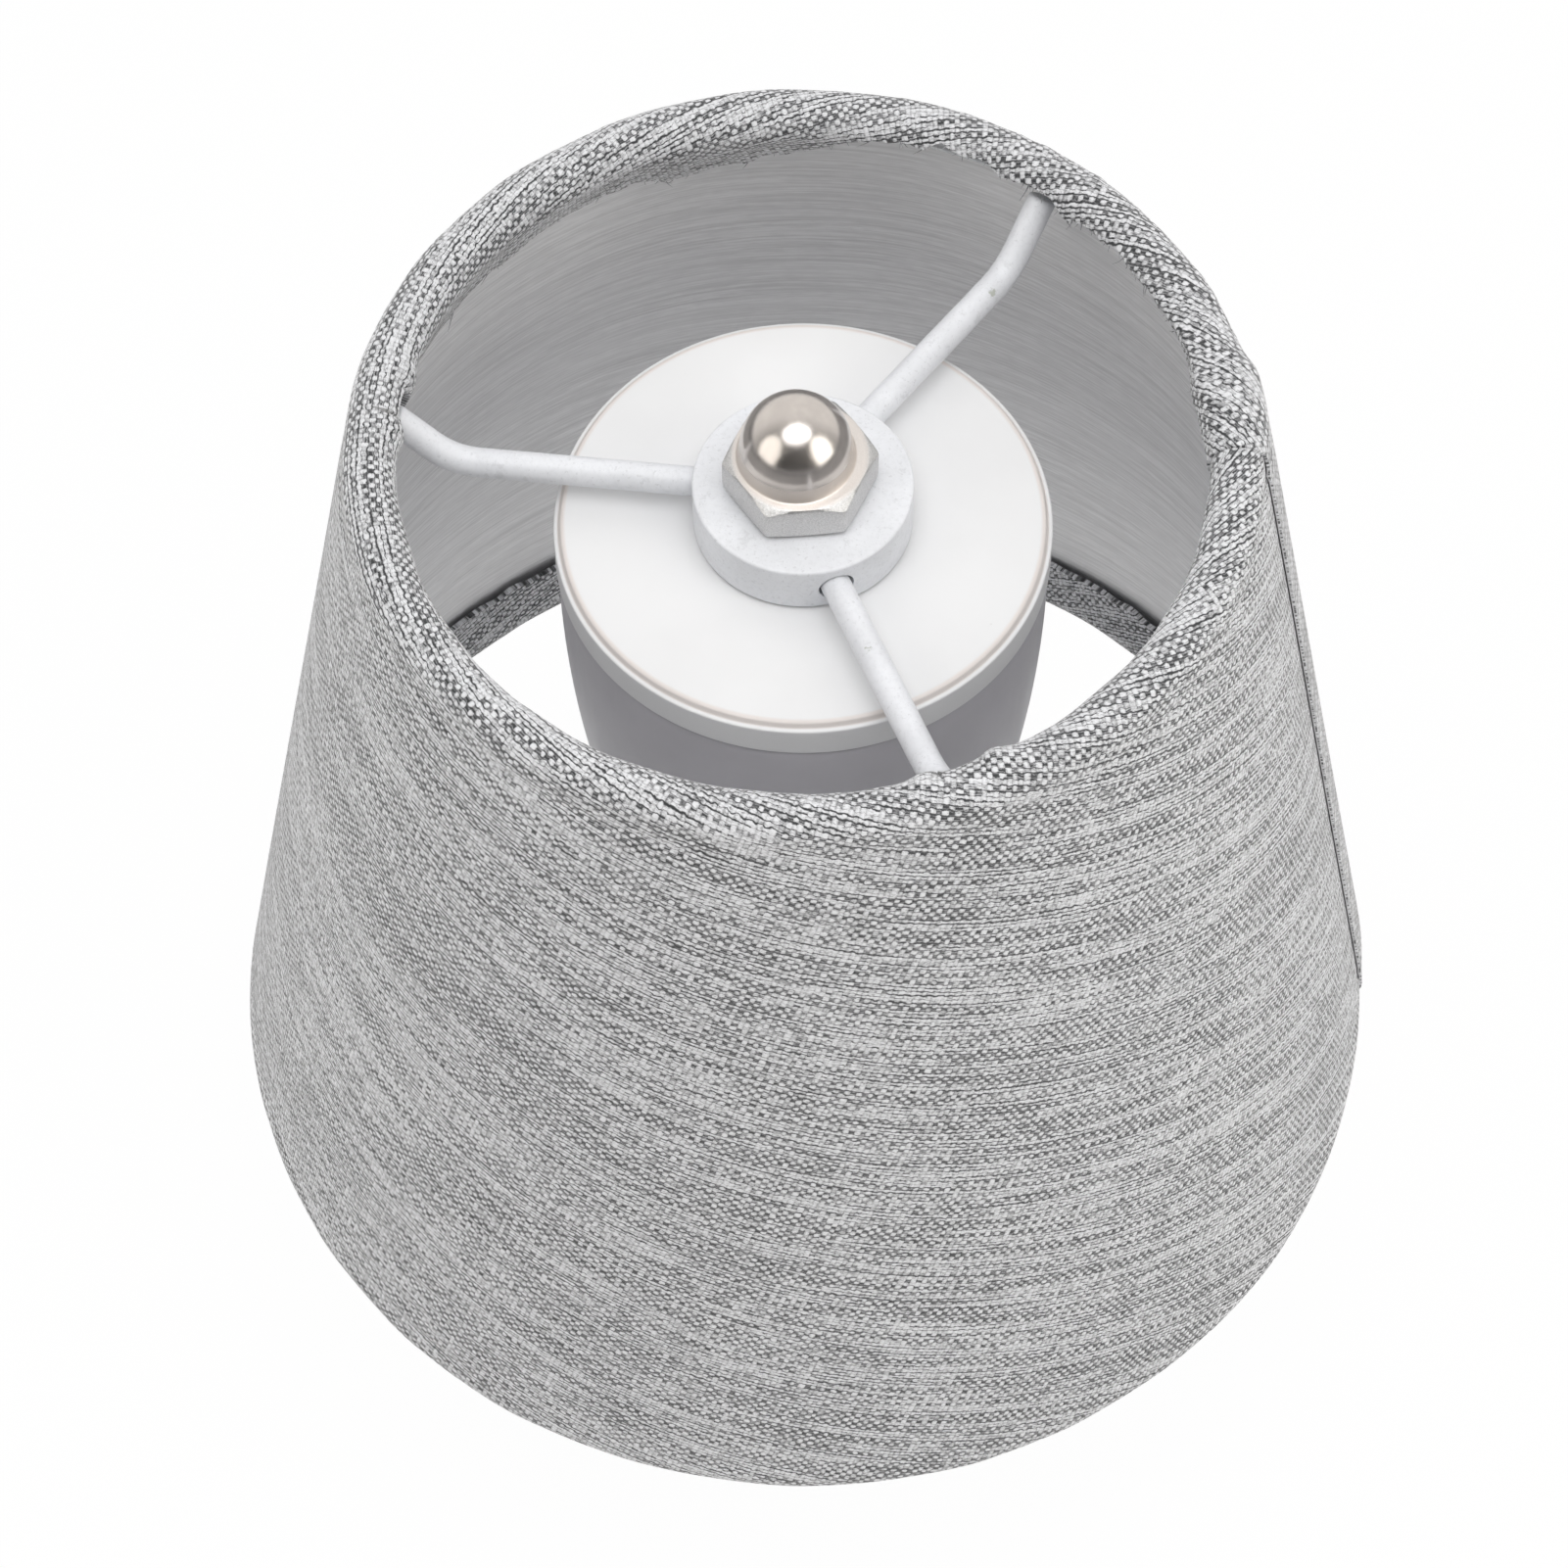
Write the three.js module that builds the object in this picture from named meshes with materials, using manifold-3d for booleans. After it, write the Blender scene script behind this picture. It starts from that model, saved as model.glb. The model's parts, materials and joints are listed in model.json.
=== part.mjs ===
// A cordless bottle lamp. A fabric shade hangs on a three-armed wire spider, a domed nut holds the
// spider's hub on the lamp's head, and a rubber stopper plugs the lamp into the neck of a bottle.
//
// Millimetres, +Z up, with the lamp's axis on Z. The origin is the centre of the plane where the
// stopper's flange rests on the bottle's lip. Angles are in degrees, from +X towards +Y.

import * as THREE from 'three';
import { mergeVertices } from 'three/addons/utils/BufferGeometryUtils.js';
import Module from 'manifold-3d';

const wasm = await Module();
wasm.setup();

// Clearances
const SEAT_GAP = 0.3; // between round or sloping faces that seat on each other
const RUNNING_GAP = 0.3; // between faces that turn or slide past each other
const CUT_PAST = 1; // how far a cut runs past the face that it opens

// Shade
const SHADE_TOP_RADIUS = 45; // outside of the upper roll
const SHADE_BOTTOM_RADIUS = 65; // outside of the lower roll
const SHADE_HEIGHT = 108;
const CLOTH_THICKNESS = 0.7;
const LINER_THICKNESS = 0.4;
const LINER_END_MARGIN = 0.7; // from a ring wire's surface to the liner's edge, along the wall
const TOP_WIRE_RADIUS = 1.6;
const BOTTOM_WIRE_RADIUS = 1.4;
const TOP_TURN_IN = 5; // length of cloth that hangs inside the upper ring
const TOP_TURN_IN_LEAN = 20; // its lean from upright
const BOTTOM_TURN_IN = 5.2; // length of cloth that stands inside the lower ring
const BOTTOM_TURN_IN_LEAN = 11;
const LAP_START = -2.8; // azimuth of the lapped seam's cut edge
const LAP_SWEEP = 12; // angle that the lap covers
const LAP_THICKNESS = 0.9; // how far the lap stands out of the wall
const LAP_TOP_MARGIN = 1; // from the top ring's centre down the wall to the lap's upper end
const LAP_BOTTOM_MARGIN = 2.2; // from the bottom ring's centre up the wall to the lap's lower end

// Spider
const HUB_RADIUS = 11;
const HUB_HEIGHT = 5.8;
const HUB_EDGE = 0.3; // chamfer
const ARM_RADIUS = 1.5;
const ARM_SEAT_DEPTH = 5.2; // how deep an arm goes into the hub
const ARM_LIFT = 8.1; // from the arms' level run up to the centre of the top ring
const ARM_RISE_ANGLE = 49; // slope of the arms' outer ends
const ARM_BEND_REACH = 3; // length of the bend on each side of its corner
const ARMS = [
  { name: 'spider_arm_left', atHub: 167.7, atRing: 171.7 },
  { name: 'spider_arm_front', atHub: -73.0, atRing: -69.2 },
  { name: 'spider_arm_back', atHub: 56.6, atRing: 52.7 },
];

// Stud and cap nut
const STUD_RADIUS = 4;
const STUD_REACH_IN_NUT = 6.1; // how far the stud goes into the nut
const STUD_FLANGE_RADIUS = 8.5;
const STUD_FLANGE_THICKNESS = 1.6;
const STUD_TAIL_RADIUS = 3;
const STUD_TAIL_LENGTH = 5.6;
const NUT_ACROSS_FLATS = 13.6;
const NUT_HEX_HEIGHT = 4.4;
const NUT_CORNER_AZIMUTH = 4; // of one corner of its hexagon
const NUT_CHAMFER_ANGLE = 30;
const NUT_FACE_RADIUS = 6.6; // flat top of the hexagon, inside its chamfer
const NUT_COLLAR_RADIUS = 5.95;
const NUT_COLLAR_HEIGHT = 1.5;
const NUT_DOME_RADIUS = 5.5;
const NUT_BORE_SPARE = 0.6; // room above the stud

// Cap
const CAP_RADIUS = 25;
const CAP_PLATE = 1.4; // thickness of the flange
const CAP_PLATEAU_INSET = 1.8; // from the cap's edge to the edge of its raised middle
const CAP_PLATEAU_FOOT_INSET = 1; // from the cap's edge to the foot of the slope round it
const CAP_PLATEAU_RISE = 1.1;
const CAP_EDGE = 0.4; // rounding of the flange's outer edge
const CAP_SKIRT_WALL = 0.8;
const CAP_SKIRT_DEPTH = 1.9; // below the underside of the flange

// Light board
const BOARD_THICKNESS = 1.6;
const LIGHT_BOARD_INSET = 1.4; // from the diffuser's rim to the board's edge
const LIGHT_BOARD_RECESS = 1.2; // how deep the board sits in the cap
const LED_COUNT = 6;
const LED_INSET = 5.5; // from the board's edge to the middle of a light
const LED_SIZE = [3.5, 2.8, 0.8];

// Diffuser
const DIFFUSER_TOP_INSET = 0.2; // from the cap's edge to the diffuser's side
const DIFFUSER_FOOT_RADIUS = 17.2;
const DIFFUSER_STRAIGHT = 5.4; // upright stretch below the cap
const DIFFUSER_WALL = 1.9;
const DIFFUSER_FLOOR = 1.8;
const DIFFUSER_RIM_WALL = 1.5;

// Battery and its tube
const CELL_RADIUS = 7.1;
const CELL_LENGTH = 50;
const CELL_NUB_RADIUS = 2.75;
const CELL_NUB_HEIGHT = 1;
const CELL_ROOM = 0.5; // between the cell and the tube's bore
const TUBE_WALL = 1.4;
const TUBE_SPIGOT_WALL = 1.8;
const TUBE_FLANGE_INSET = 1.1; // from the foot of the diffuser's wall to the flange
const TUBE_FLANGE_THICKNESS = 2;
const TUBE_HEAD_THICKNESS = 7.6;
const CONTACT_RADIUS = 6;
const CONTACT_THICKNESS = 0.7;
const SPRING_LENGTH = 4; // from the battery seat to the cell
const SPRING_WIRE_RADIUS = 0.3;
const SPRING_COIL_RADIUS = 4.2;
const SPRING_TURNS = 3;
const BATTERY_SEAT_SIDE_ROOM = 0.33; // from its long sides to the cover's bosses
const BATTERY_SEAT_INSET = 2.4; // from the housing's wall to the seat's ends
const BATTERY_SEAT_THICKNESS = 3;
const LEAD_RADIUS = 0.6;
const LEAD_STANDOFF = 1.9; // from the tube's wall to the middle of a lead
const LEAD_AZIMUTHS = [20, 200];

// Base housing
const HOUSING_HEIGHT = 33;
const HOUSING_FOOT_RADIUS = 16.6;
const HOUSING_WALL = 1.2; // at its foot
const DECK_THICKNESS = 3;
const DECK_HOLE_ROOM = 0.6; // how much wider the deck's hole is than the tube's bore
const COVER_THICKNESS = 2.5;
const COVER_BOSS_RADIUS = 2.6;
const COVER_BOSS_INSET = 1.3; // from the housing's wall to a boss
const COVER_BOSS_AZIMUTHS = [45, 135, 225, 315];
const SPIGOT_RADIUS = 4;
const SPIGOT_END_ROOM = 0.4; // from its end to the level of the stopper's pocket

// Screws
const SCREW_RADIUS = 1.1;
const SCREW_HEAD_RADIUS = 2.1;
const SCREW_HEAD_HEIGHT = 1.4;
const SCREW_HEAD_EDGE = 0.35; // chamfer
const SCREW_SOCKET_RADIUS = 1;
const SCREW_SOCKET_DEPTH = 0.8;
const COVER_SCREW_LENGTH = 7;
const COVER_SCREW_SUNK = 0.1; // how far its head lies below the cover's face
const SEAT_SCREW_LENGTH = 5.4;
const TUBE_SCREW_LENGTH = 6.2;
const SCREW_END_ROOM = 0.5; // room past a screw's end in a blind hole

// Control board
const CONTROL_BOARD_HEIGHT = 11; // underside above the lip plane
const CONTROL_BOARD_SIDE_ROOM = 0.93; // from the sides of its crossed strips to the cover's bosses
const CONTROL_BOARD_INSET = 1.2; // from the housing's wall to the board's ends
const BOARD_POST_RADIUS = 2.4;
const BOARD_POST_INSET = 1; // from the housing's wall to a post
const BOARD_SCREW_LENGTH = 6;

// Charging socket, switch and charge light
const SOCKET_WIDTH = 8.94;
const SOCKET_HEIGHT = 3.2;
const SOCKET_LENGTH = 7.3;
const SOCKET_WALL = 0.35;
const SOCKET_TONGUE = [6.2, 5, 0.7];
const SWITCH_SIZE = [6, 4, 6];
const SWITCH_ROOM = 0.9; // between the switch and the button at rest
const PLUNGER_RADIUS = 1.6;
const PLUNGER_REACH = 1.2; // how far the plunger stands in the switch at rest
const PLUNGER_WELL = 2.2;
const BUTTON_RADIUS = 4.3;
const BUTTON_PROUD = 0.6;
const BUTTON_EDGE = 0.3; // chamfer
const BUTTON_FLANGE_RADIUS = 5.3;
const BUTTON_FLANGE_THICKNESS = 1;
const LENS_RADIUS = 1.5;
const LENS_FLANGE_RADIUS = 2.4;
const LENS_FLANGE_THICKNESS = 1.2;
const LENS_HEIGHT = 6.9; // above the control board
const CHARGE_LED_SIZE = [2, 1.2, 1];
const CHARGE_LED_PLACE = 6.5;

// Stopper
const STOPPER_FLANGE_INSET = 0.1; // from the cover's edge to the stopper's
const STOPPER_FLANGE_THICKNESS = 3;
const STOPPER_LENGTH = 32; // below the lip plane
const STOPPER_ROOT_RADIUS = 9.2;
const STOPPER_TIP_RADIUS = 8.4;
const STOPPER_RIBS = 4;
const STOPPER_RIB_PROUD = 0.8;
const STOPPER_RIB_HEIGHT = 2.4;
const STOPPER_POCKET_RADIUS = 5.6;
const STOPPER_POCKET_DEPTH = 4;
const WASHER_RADIUS = 5.2;
const WASHER_THICKNESS = 1;
const STOPPER_SCREW_RADIUS = 1.5;
const STOPPER_SCREW_HEAD_RADIUS = 2.9;
const STOPPER_SCREW_HEAD_HEIGHT = 2.2;
const STOPPER_SCREW_LENGTH = 15;
const STOPPER_SCREW_ROOM = 4; // room past its end in the spigot

// Smoothness, as numbers of flat sides
const SHADE_SIDES = 48;
const BODY_SIDES = 36;
const TUBE_SIDES = 24;
const SMALL_SIDES = 16;
const SCREW_SIDES = 12;
const WIRE_SIDES = 8;
const SPRING_SIDES = 5;
const SPRING_TURN_STEPS = 10;
const ARM_STEPS = 12;
const ROLL_STEPS = 7;
const CURVE_STEPS = 6;
const EDGE_STEPS = 2;
const MERGE_DISTANCE = 1e-4; // points closer than this are one

// Heights, stacked from the lip plane upwards
const coverBottom = STOPPER_FLANGE_THICKNESS;
const coverTop = coverBottom + COVER_THICKNESS;
const coverScrewSeat = coverBottom + SCREW_HEAD_HEIGHT + COVER_SCREW_SUNK;
const deckTop = coverBottom + HOUSING_HEIGHT;
const deckBottom = deckTop - DECK_THICKNESS;
const tubeFlangeBottom = deckTop + DIFFUSER_FLOOR;
const tubeFlangeTop = tubeFlangeBottom + TUBE_FLANGE_THICKNESS;
const batterySeatBottom = deckBottom - BATTERY_SEAT_THICKNESS;
const cellBottom = deckBottom + SPRING_LENGTH;
const cellTop = cellBottom + CELL_LENGTH;
const tubeCeiling = cellTop + SEAT_GAP + CONTACT_THICKNESS;
const tubeTop = tubeCeiling + TUBE_HEAD_THICKNESS;
const lightBoardBottom = tubeTop + STUD_FLANGE_THICKNESS;
const lightBoardTop = lightBoardBottom + BOARD_THICKNESS;
const diffuserRim = lightBoardTop - LIGHT_BOARD_RECESS;
const flangeTop = diffuserRim + CAP_PLATE;
const plateauTop = flangeTop + CAP_PLATEAU_RISE;
const skirtBottom = diffuserRim - CAP_SKIRT_DEPTH;
const diffuserShoulder = skirtBottom - SEAT_GAP;
const hubBottom = plateauTop + RUNNING_GAP;
const hubTop = hubBottom + HUB_HEIGHT;
const armLevel = (hubBottom + hubTop) / 2;
const nutBottom = hubTop + RUNNING_GAP;
const nutHexTop = nutBottom + NUT_HEX_HEIGHT;
const domeCentre = nutHexTop + NUT_COLLAR_HEIGHT;
const studTop = nutBottom + STUD_REACH_IN_NUT;
const topRingHeight = armLevel + ARM_LIFT;
const stopperPocketTop = STOPPER_POCKET_DEPTH - STOPPER_LENGTH;
const stopperScrewSeat = stopperPocketTop - WASHER_THICKNESS;
const spigotEnd = stopperPocketTop + SPIGOT_END_ROOM;
const spigotBoreTop = stopperScrewSeat + STOPPER_SCREW_LENGTH + STOPPER_SCREW_ROOM;

const radians = (degrees) => THREE.MathUtils.degToRad(degrees);

// Radii and places that follow from the sizes above
const topRollRadius = TOP_WIRE_RADIUS + SEAT_GAP + CLOTH_THICKNESS;
const bottomRollRadius = BOTTOM_WIRE_RADIUS + SEAT_GAP + CLOTH_THICKNESS;
const topRingRadius = SHADE_TOP_RADIUS - topRollRadius;
const bottomRingRadius = SHADE_BOTTOM_RADIUS - bottomRollRadius;
const shadeTop = topRingHeight + topRollRadius;
const shadeBottom = shadeTop - SHADE_HEIGHT;
const bottomRingHeight = shadeBottom + bottomRollRadius;
const studHole = STUD_RADIUS + SEAT_GAP;
const screwHole = SCREW_RADIUS + SEAT_GAP;
const skirtBore = CAP_RADIUS - CAP_SKIRT_WALL;
const capPlateauRadius = CAP_RADIUS - CAP_PLATEAU_INSET;
const capPlateauFoot = CAP_RADIUS - CAP_PLATEAU_FOOT_INSET;
const diffuserTopRadius = CAP_RADIUS - DIFFUSER_TOP_INSET;
const diffuserNeck = skirtBore - SEAT_GAP;
const lightBoardRadius = diffuserNeck - DIFFUSER_RIM_WALL - LIGHT_BOARD_INSET;
const ledCircle = lightBoardRadius - LED_INSET;
const tubeBore = CELL_RADIUS + CELL_ROOM;
const tubeOutside = tubeBore + TUBE_WALL;
const tubeSpigotRadius = tubeBore + TUBE_SPIGOT_WALL;
const tubeFlangeRadius = DIFFUSER_FOOT_RADIUS - DIFFUSER_WALL - TUBE_FLANGE_INSET;
const tubeScrewCircle = (tubeOutside + tubeFlangeRadius) / 2;
const leadCircle = tubeOutside + LEAD_STANDOFF;
const deckHoleRadius = tubeBore + DECK_HOLE_ROOM;
const housingCavity = HOUSING_FOOT_RADIUS - HOUSING_WALL;
const coverRadius = housingCavity - SEAT_GAP;
const stopperFlangeRadius = coverRadius - STOPPER_FLANGE_INSET;
const coverBossCircle = housingCavity - COVER_BOSS_INSET - COVER_BOSS_RADIUS;
const bossSide = coverBossCircle * Math.cos(radians(COVER_BOSS_AZIMUTHS[0])) - COVER_BOSS_RADIUS;
const batterySeatHalf = bossSide - BATTERY_SEAT_SIDE_ROOM;
const batterySeatReach = housingCavity - BATTERY_SEAT_INSET;
const seatScrewCircle = (deckHoleRadius + batterySeatReach) / 2;
const boardPostCircle = housingCavity - BOARD_POST_INSET - BOARD_POST_RADIUS;
const controlBoardHalf = bossSide - CONTROL_BOARD_SIDE_ROOM;
const controlBoardReach = housingCavity - CONTROL_BOARD_INSET;
const controlBoardTop = CONTROL_BOARD_HEIGHT + BOARD_THICKNESS;
const buttonHeight = controlBoardTop + SWITCH_SIZE[2] / 2;
const lensHeight = controlBoardTop + LENS_HEIGHT;
const leadHole = LEAD_RADIUS + SEAT_GAP;
const buttonFlangeFace = Math.sqrt(coverRadius * coverRadius - BUTTON_FLANGE_RADIUS * BUTTON_FLANGE_RADIUS);
const buttonBack = buttonFlangeFace - BUTTON_FLANGE_THICKNESS;
const lensFlangeFace = Math.sqrt(coverRadius * coverRadius - LENS_FLANGE_RADIUS * LENS_FLANGE_RADIUS);
const switchFace = buttonBack - SWITCH_ROOM;
const wallDrillStart = housingCavity / 2;
const wallDrillEnd = Math.max(HOUSING_FOOT_RADIUS, DIFFUSER_FOOT_RADIUS) + CUT_PAST;

// A point in the plan at a distance from the axis and an azimuth.
function around(radius, azimuth, height = 0) {
  return new THREE.Vector3(radius * Math.cos(radians(azimuth)), radius * Math.sin(radians(azimuth)), height);
}

// Points of an arc in the profile plane, both ends included.
function arc(centreRadius, centreHeight, radius, fromAngle, toAngle, steps) {
  const points = [];
  for (let step = 0; step <= steps; step += 1) {
    const angle = radians(fromAngle + ((toAngle - fromAngle) * step) / steps);
    points.push([centreRadius + radius * Math.cos(angle), centreHeight + radius * Math.sin(angle)]);
  }
  return points;
}

// A closed mesh as a solid: only positions are kept, shared points are merged, flat triangles dropped.
function solid(geometry) {
  const bare = geometry.clone();
  bare.deleteAttribute('normal');
  bare.deleteAttribute('uv');
  const merged = mergeVertices(bare, MERGE_DISTANCE);
  const corners = merged.index.array;
  const kept = [];
  for (let at = 0; at < corners.length; at += 3) {
    const [a, b, c] = [corners[at], corners[at + 1], corners[at + 2]];
    if (a !== b && b !== c && c !== a) {
      kept.push(a, b, c);
    }
  }
  const vertProperties = new Float32Array(merged.attributes.position.array);
  return new wasm.Manifold(new wasm.Mesh({ numProp: 3, vertProperties, triVerts: new Uint32Array(kept) }));
}

function geometryOf(shape) {
  const mesh = shape.getMesh();
  const geometry = new THREE.BufferGeometry();
  geometry.setAttribute('position', new THREE.BufferAttribute(mesh.vertProperties, 3));
  geometry.setIndex(new THREE.BufferAttribute(mesh.triVerts, 1));
  return geometry;
}

// A solid of revolution about Z. The profile is a list of [radius, height] that runs counterclockwise.
// It starts and ends on the axis, or is closed here on itself.
function turned(profile, sides) {
  const points = profile.map(([radius, height]) => new THREE.Vector2(radius, height));
  if (points[0].x > 0) {
    points.push(points[0].clone());
  }
  return solid(new THREE.LatheGeometry(points, sides).rotateX(Math.PI / 2));
}

function disc(radius, bottom, top, sides) {
  return turned([[0, bottom], [radius, bottom], [radius, top], [0, top]], sides);
}

function ring(inner, outer, bottom, top, sides) {
  return turned([[inner, bottom], [outer, bottom], [outer, top], [inner, top]], sides);
}

function box(low, high) {
  const size = high.map((value, axis) => value - low[axis]);
  const middle = high.map((value, axis) => (value + low[axis]) / 2);
  return solid(new THREE.BoxGeometry(...size).translate(...middle));
}

// A cylinder that stands at a place in the plan.
function post(place, radius, bottom, top, sides) {
  return disc(radius, bottom, top, sides).translate([place.x, place.y, 0]);
}

// A solid turned about Z is laid along a horizontal direction: its own +Z then points that way.
function laidAlong(shape, azimuth, height) {
  return shape.rotate([0, 90, 0]).rotate([0, 0, azimuth]).translate([0, 0, height]);
}

function allOf(shapes) {
  return shapes.slice(1).reduce((whole, shape) => whole.add(shape), shapes[0]);
}

function circleSection(radius, sides) {
  const points = [];
  for (let side = 0; side < sides; side += 1) {
    const angle = (2 * Math.PI * side) / sides;
    points.push(new THREE.Vector2(radius * Math.cos(angle), radius * Math.sin(angle)));
  }
  return new THREE.Shape(points);
}

function wireAlong(path, radius, sides, steps) {
  const options = { steps, extrudePath: path, bevelEnabled: false };
  return solid(new THREE.ExtrudeGeometry(circleSection(radius, sides), options));
}

// The shade's wall is the outer tangent of its two rolls. Its outward normal and its run, from the
// bottom ring's centre to the top one's, give every layer of the wall.
const wallRun = new THREE.Vector2(topRingRadius - bottomRingRadius, topRingHeight - bottomRingHeight);
const wallLength = wallRun.length();
const wallUp = wallRun.clone().normalize();
const wallTilt = (bottomRollRadius - topRollRadius) / wallLength;
const wallNormal = new THREE.Vector2(wallUp.y, -wallUp.x)
  .multiplyScalar(Math.sqrt(1 - wallTilt * wallTilt))
  .addScaledVector(wallUp, wallTilt);
const wallAngle = THREE.MathUtils.radToDeg(wallNormal.angle());

// A point of the wall: the distance up from the bottom ring's centre, and the depth below its outside.
function onWall(up, depth) {
  const out = THREE.MathUtils.lerp(bottomRollRadius, topRollRadius, up / wallLength) - depth;
  return [
    bottomRingRadius + wallUp.x * up + wallNormal.x * out,
    bottomRingHeight + wallUp.y * up + wallNormal.y * out,
  ];
}

// The end of a turned-in flap: it leaves its roll along the tangent at an angle.
function flapEnd(ringRadius, ringHeight, radius, angle, length, downwards) {
  const side = downwards ? 1 : -1;
  const turn = radians(angle);
  return [
    ringRadius + radius * Math.cos(turn) - side * Math.sin(turn) * length,
    ringHeight + radius * Math.sin(turn) + side * Math.cos(turn) * length,
  ];
}

// One face of the cloth, from the end of the upper flap, over the upper roll, down the wall, round the
// lower roll and up to the end of the lower flap. The inner face is the outer one, a thickness deeper.
function clothFace(depth) {
  const topRadius = topRollRadius - depth;
  const bottomRadius = bottomRollRadius - depth;
  const topLeave = 180 + TOP_TURN_IN_LEAN;
  const bottomLeave = -180 - BOTTOM_TURN_IN_LEAN;
  return [
    flapEnd(topRingRadius, topRingHeight, topRadius, topLeave, TOP_TURN_IN, true),
    ...arc(topRingRadius, topRingHeight, topRadius, topLeave, wallAngle, ROLL_STEPS),
    ...arc(bottomRingRadius, bottomRingHeight, bottomRadius, wallAngle, bottomLeave, ROLL_STEPS),
    flapEnd(bottomRingRadius, bottomRingHeight, bottomRadius, bottomLeave, BOTTOM_TURN_IN, false),
  ];
}

// The lapped seam: a raised strip of the wall between two azimuths.
function seamLap() {
  const low = LAP_BOTTOM_MARGIN;
  const high = wallLength - LAP_TOP_MARGIN;
  const within = CLOTH_THICKNESS / 2;
  const strip = turned(
    [onWall(low, within), onWall(low, -LAP_THICKNESS), onWall(high, -LAP_THICKNESS), onWall(high, within)],
    SHADE_SIDES,
  );
  const wellOutside = 2 * SHADE_BOTTOM_RADIUS;
  const corners = [new THREE.Vector2(0, 0)];
  for (const azimuth of [LAP_START, LAP_START + LAP_SWEEP / 2, LAP_START + LAP_SWEEP]) {
    const corner = around(wellOutside, azimuth);
    corners.push(new THREE.Vector2(corner.x, corner.y));
  }
  const wedge = new THREE.ExtrudeGeometry(new THREE.Shape(corners), { depth: shadeTop, bevelEnabled: false });
  return strip.intersect(solid(wedge));
}

// The cloth is notched inside the upper roll where each arm reaches the ring, from inside the flap to
// just past the middle of the ring's wire.
function armNotch(arm) {
  const half = ARM_RADIUS + SEAT_GAP;
  const bottom = topRingHeight - topRollRadius - TOP_TURN_IN;
  const notch = box(
    [topRingRadius - 2 * topRollRadius, -half, bottom],
    [topRingRadius + TOP_WIRE_RADIUS / 2, half, topRingHeight],
  );
  return notch.rotate([0, 0, arm.atRing]);
}

function shadeFabric() {
  const outer = clothFace(0);
  const inner = clothFace(CLOTH_THICKNESS);
  const cloth = turned([...inner, ...outer.reverse()], SHADE_SIDES);
  const lapped = cloth.add(seamLap());
  return ARMS.reduce((whole, arm) => whole.subtract(armNotch(arm)), lapped);
}

function shadeLiner() {
  const low = BOTTOM_WIRE_RADIUS + LINER_END_MARGIN;
  const high = wallLength - TOP_WIRE_RADIUS - LINER_END_MARGIN;
  const outside = CLOTH_THICKNESS + SEAT_GAP;
  const inside = outside + LINER_THICKNESS;
  return turned(
    [onWall(low, inside), onWall(low, outside), onWall(high, outside), onWall(high, inside)],
    SHADE_SIDES,
  );
}

function ringWire(ringRadius, ringHeight, wireRadius) {
  const wire = new THREE.TorusGeometry(ringRadius, wireRadius, WIRE_SIDES, SHADE_SIDES);
  return solid(wire.translate(0, 0, ringHeight));
}

// An arm's line in the plan: from where it leaves the hub to where it meets the ring.
function armLine(arm) {
  const hubPoint = around(HUB_RADIUS, arm.atHub);
  const ringPoint = around(topRingRadius, arm.atRing);
  const along = ringPoint.clone().sub(hubPoint).normalize();
  return { hubPoint, ringPoint, along };
}

// An arm runs level out of the hub, bends, and rises to the top ring's wire.
function spiderArm(arm) {
  const { hubPoint, ringPoint, along } = armLine(arm);
  const up = new THREE.Vector3(0, 0, 1);
  const slope = along
    .clone()
    .multiplyScalar(Math.cos(radians(ARM_RISE_ANGLE)))
    .addScaledVector(up, Math.sin(radians(ARM_RISE_ANGLE)));
  const level = up.clone().multiplyScalar(armLevel);
  const start = hubPoint.clone().addScaledVector(along, -ARM_SEAT_DEPTH).add(level);
  const ringCentre = ringPoint.clone().setZ(topRingHeight);
  const corner = ringCentre.clone().addScaledVector(slope, -ARM_LIFT / Math.sin(radians(ARM_RISE_ANGLE)));
  const end = ringCentre.clone().addScaledVector(slope, -TOP_WIRE_RADIUS - SEAT_GAP);
  const bendIn = corner.clone().addScaledVector(along, -ARM_BEND_REACH);
  const bendOut = corner.clone().addScaledVector(slope, ARM_BEND_REACH);
  const path = new THREE.CurvePath();
  path.add(new THREE.LineCurve3(start, bendIn));
  path.add(new THREE.QuadraticBezierCurve3(bendIn, corner, bendOut));
  path.add(new THREE.LineCurve3(bendOut, end));
  return wireAlong(path, ARM_RADIUS, SCREW_SIDES, ARM_STEPS);
}

// The hole that an arm goes into, drilled from outside the hub along the arm's line.
function armHole(arm) {
  const { hubPoint, along } = armLine(arm);
  const azimuth = THREE.MathUtils.radToDeg(Math.atan2(along.y, along.x));
  const depth = ARM_SEAT_DEPTH + SEAT_GAP;
  const drill = disc(ARM_RADIUS + SEAT_GAP, -depth, HUB_RADIUS, SCREW_SIDES);
  return laidAlong(drill, azimuth, armLevel).translate([hubPoint.x, hubPoint.y, 0]);
}

function spiderHub() {
  const outside = HUB_RADIUS - HUB_EDGE;
  const blank = turned(
    [
      [studHole, hubBottom],
      [outside, hubBottom],
      [HUB_RADIUS, hubBottom + HUB_EDGE],
      [HUB_RADIUS, hubTop - HUB_EDGE],
      [outside, hubTop],
      [studHole, hubTop],
    ],
    BODY_SIDES,
  );
  return ARMS.reduce((whole, arm) => whole.subtract(armHole(arm)), blank);
}

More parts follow.
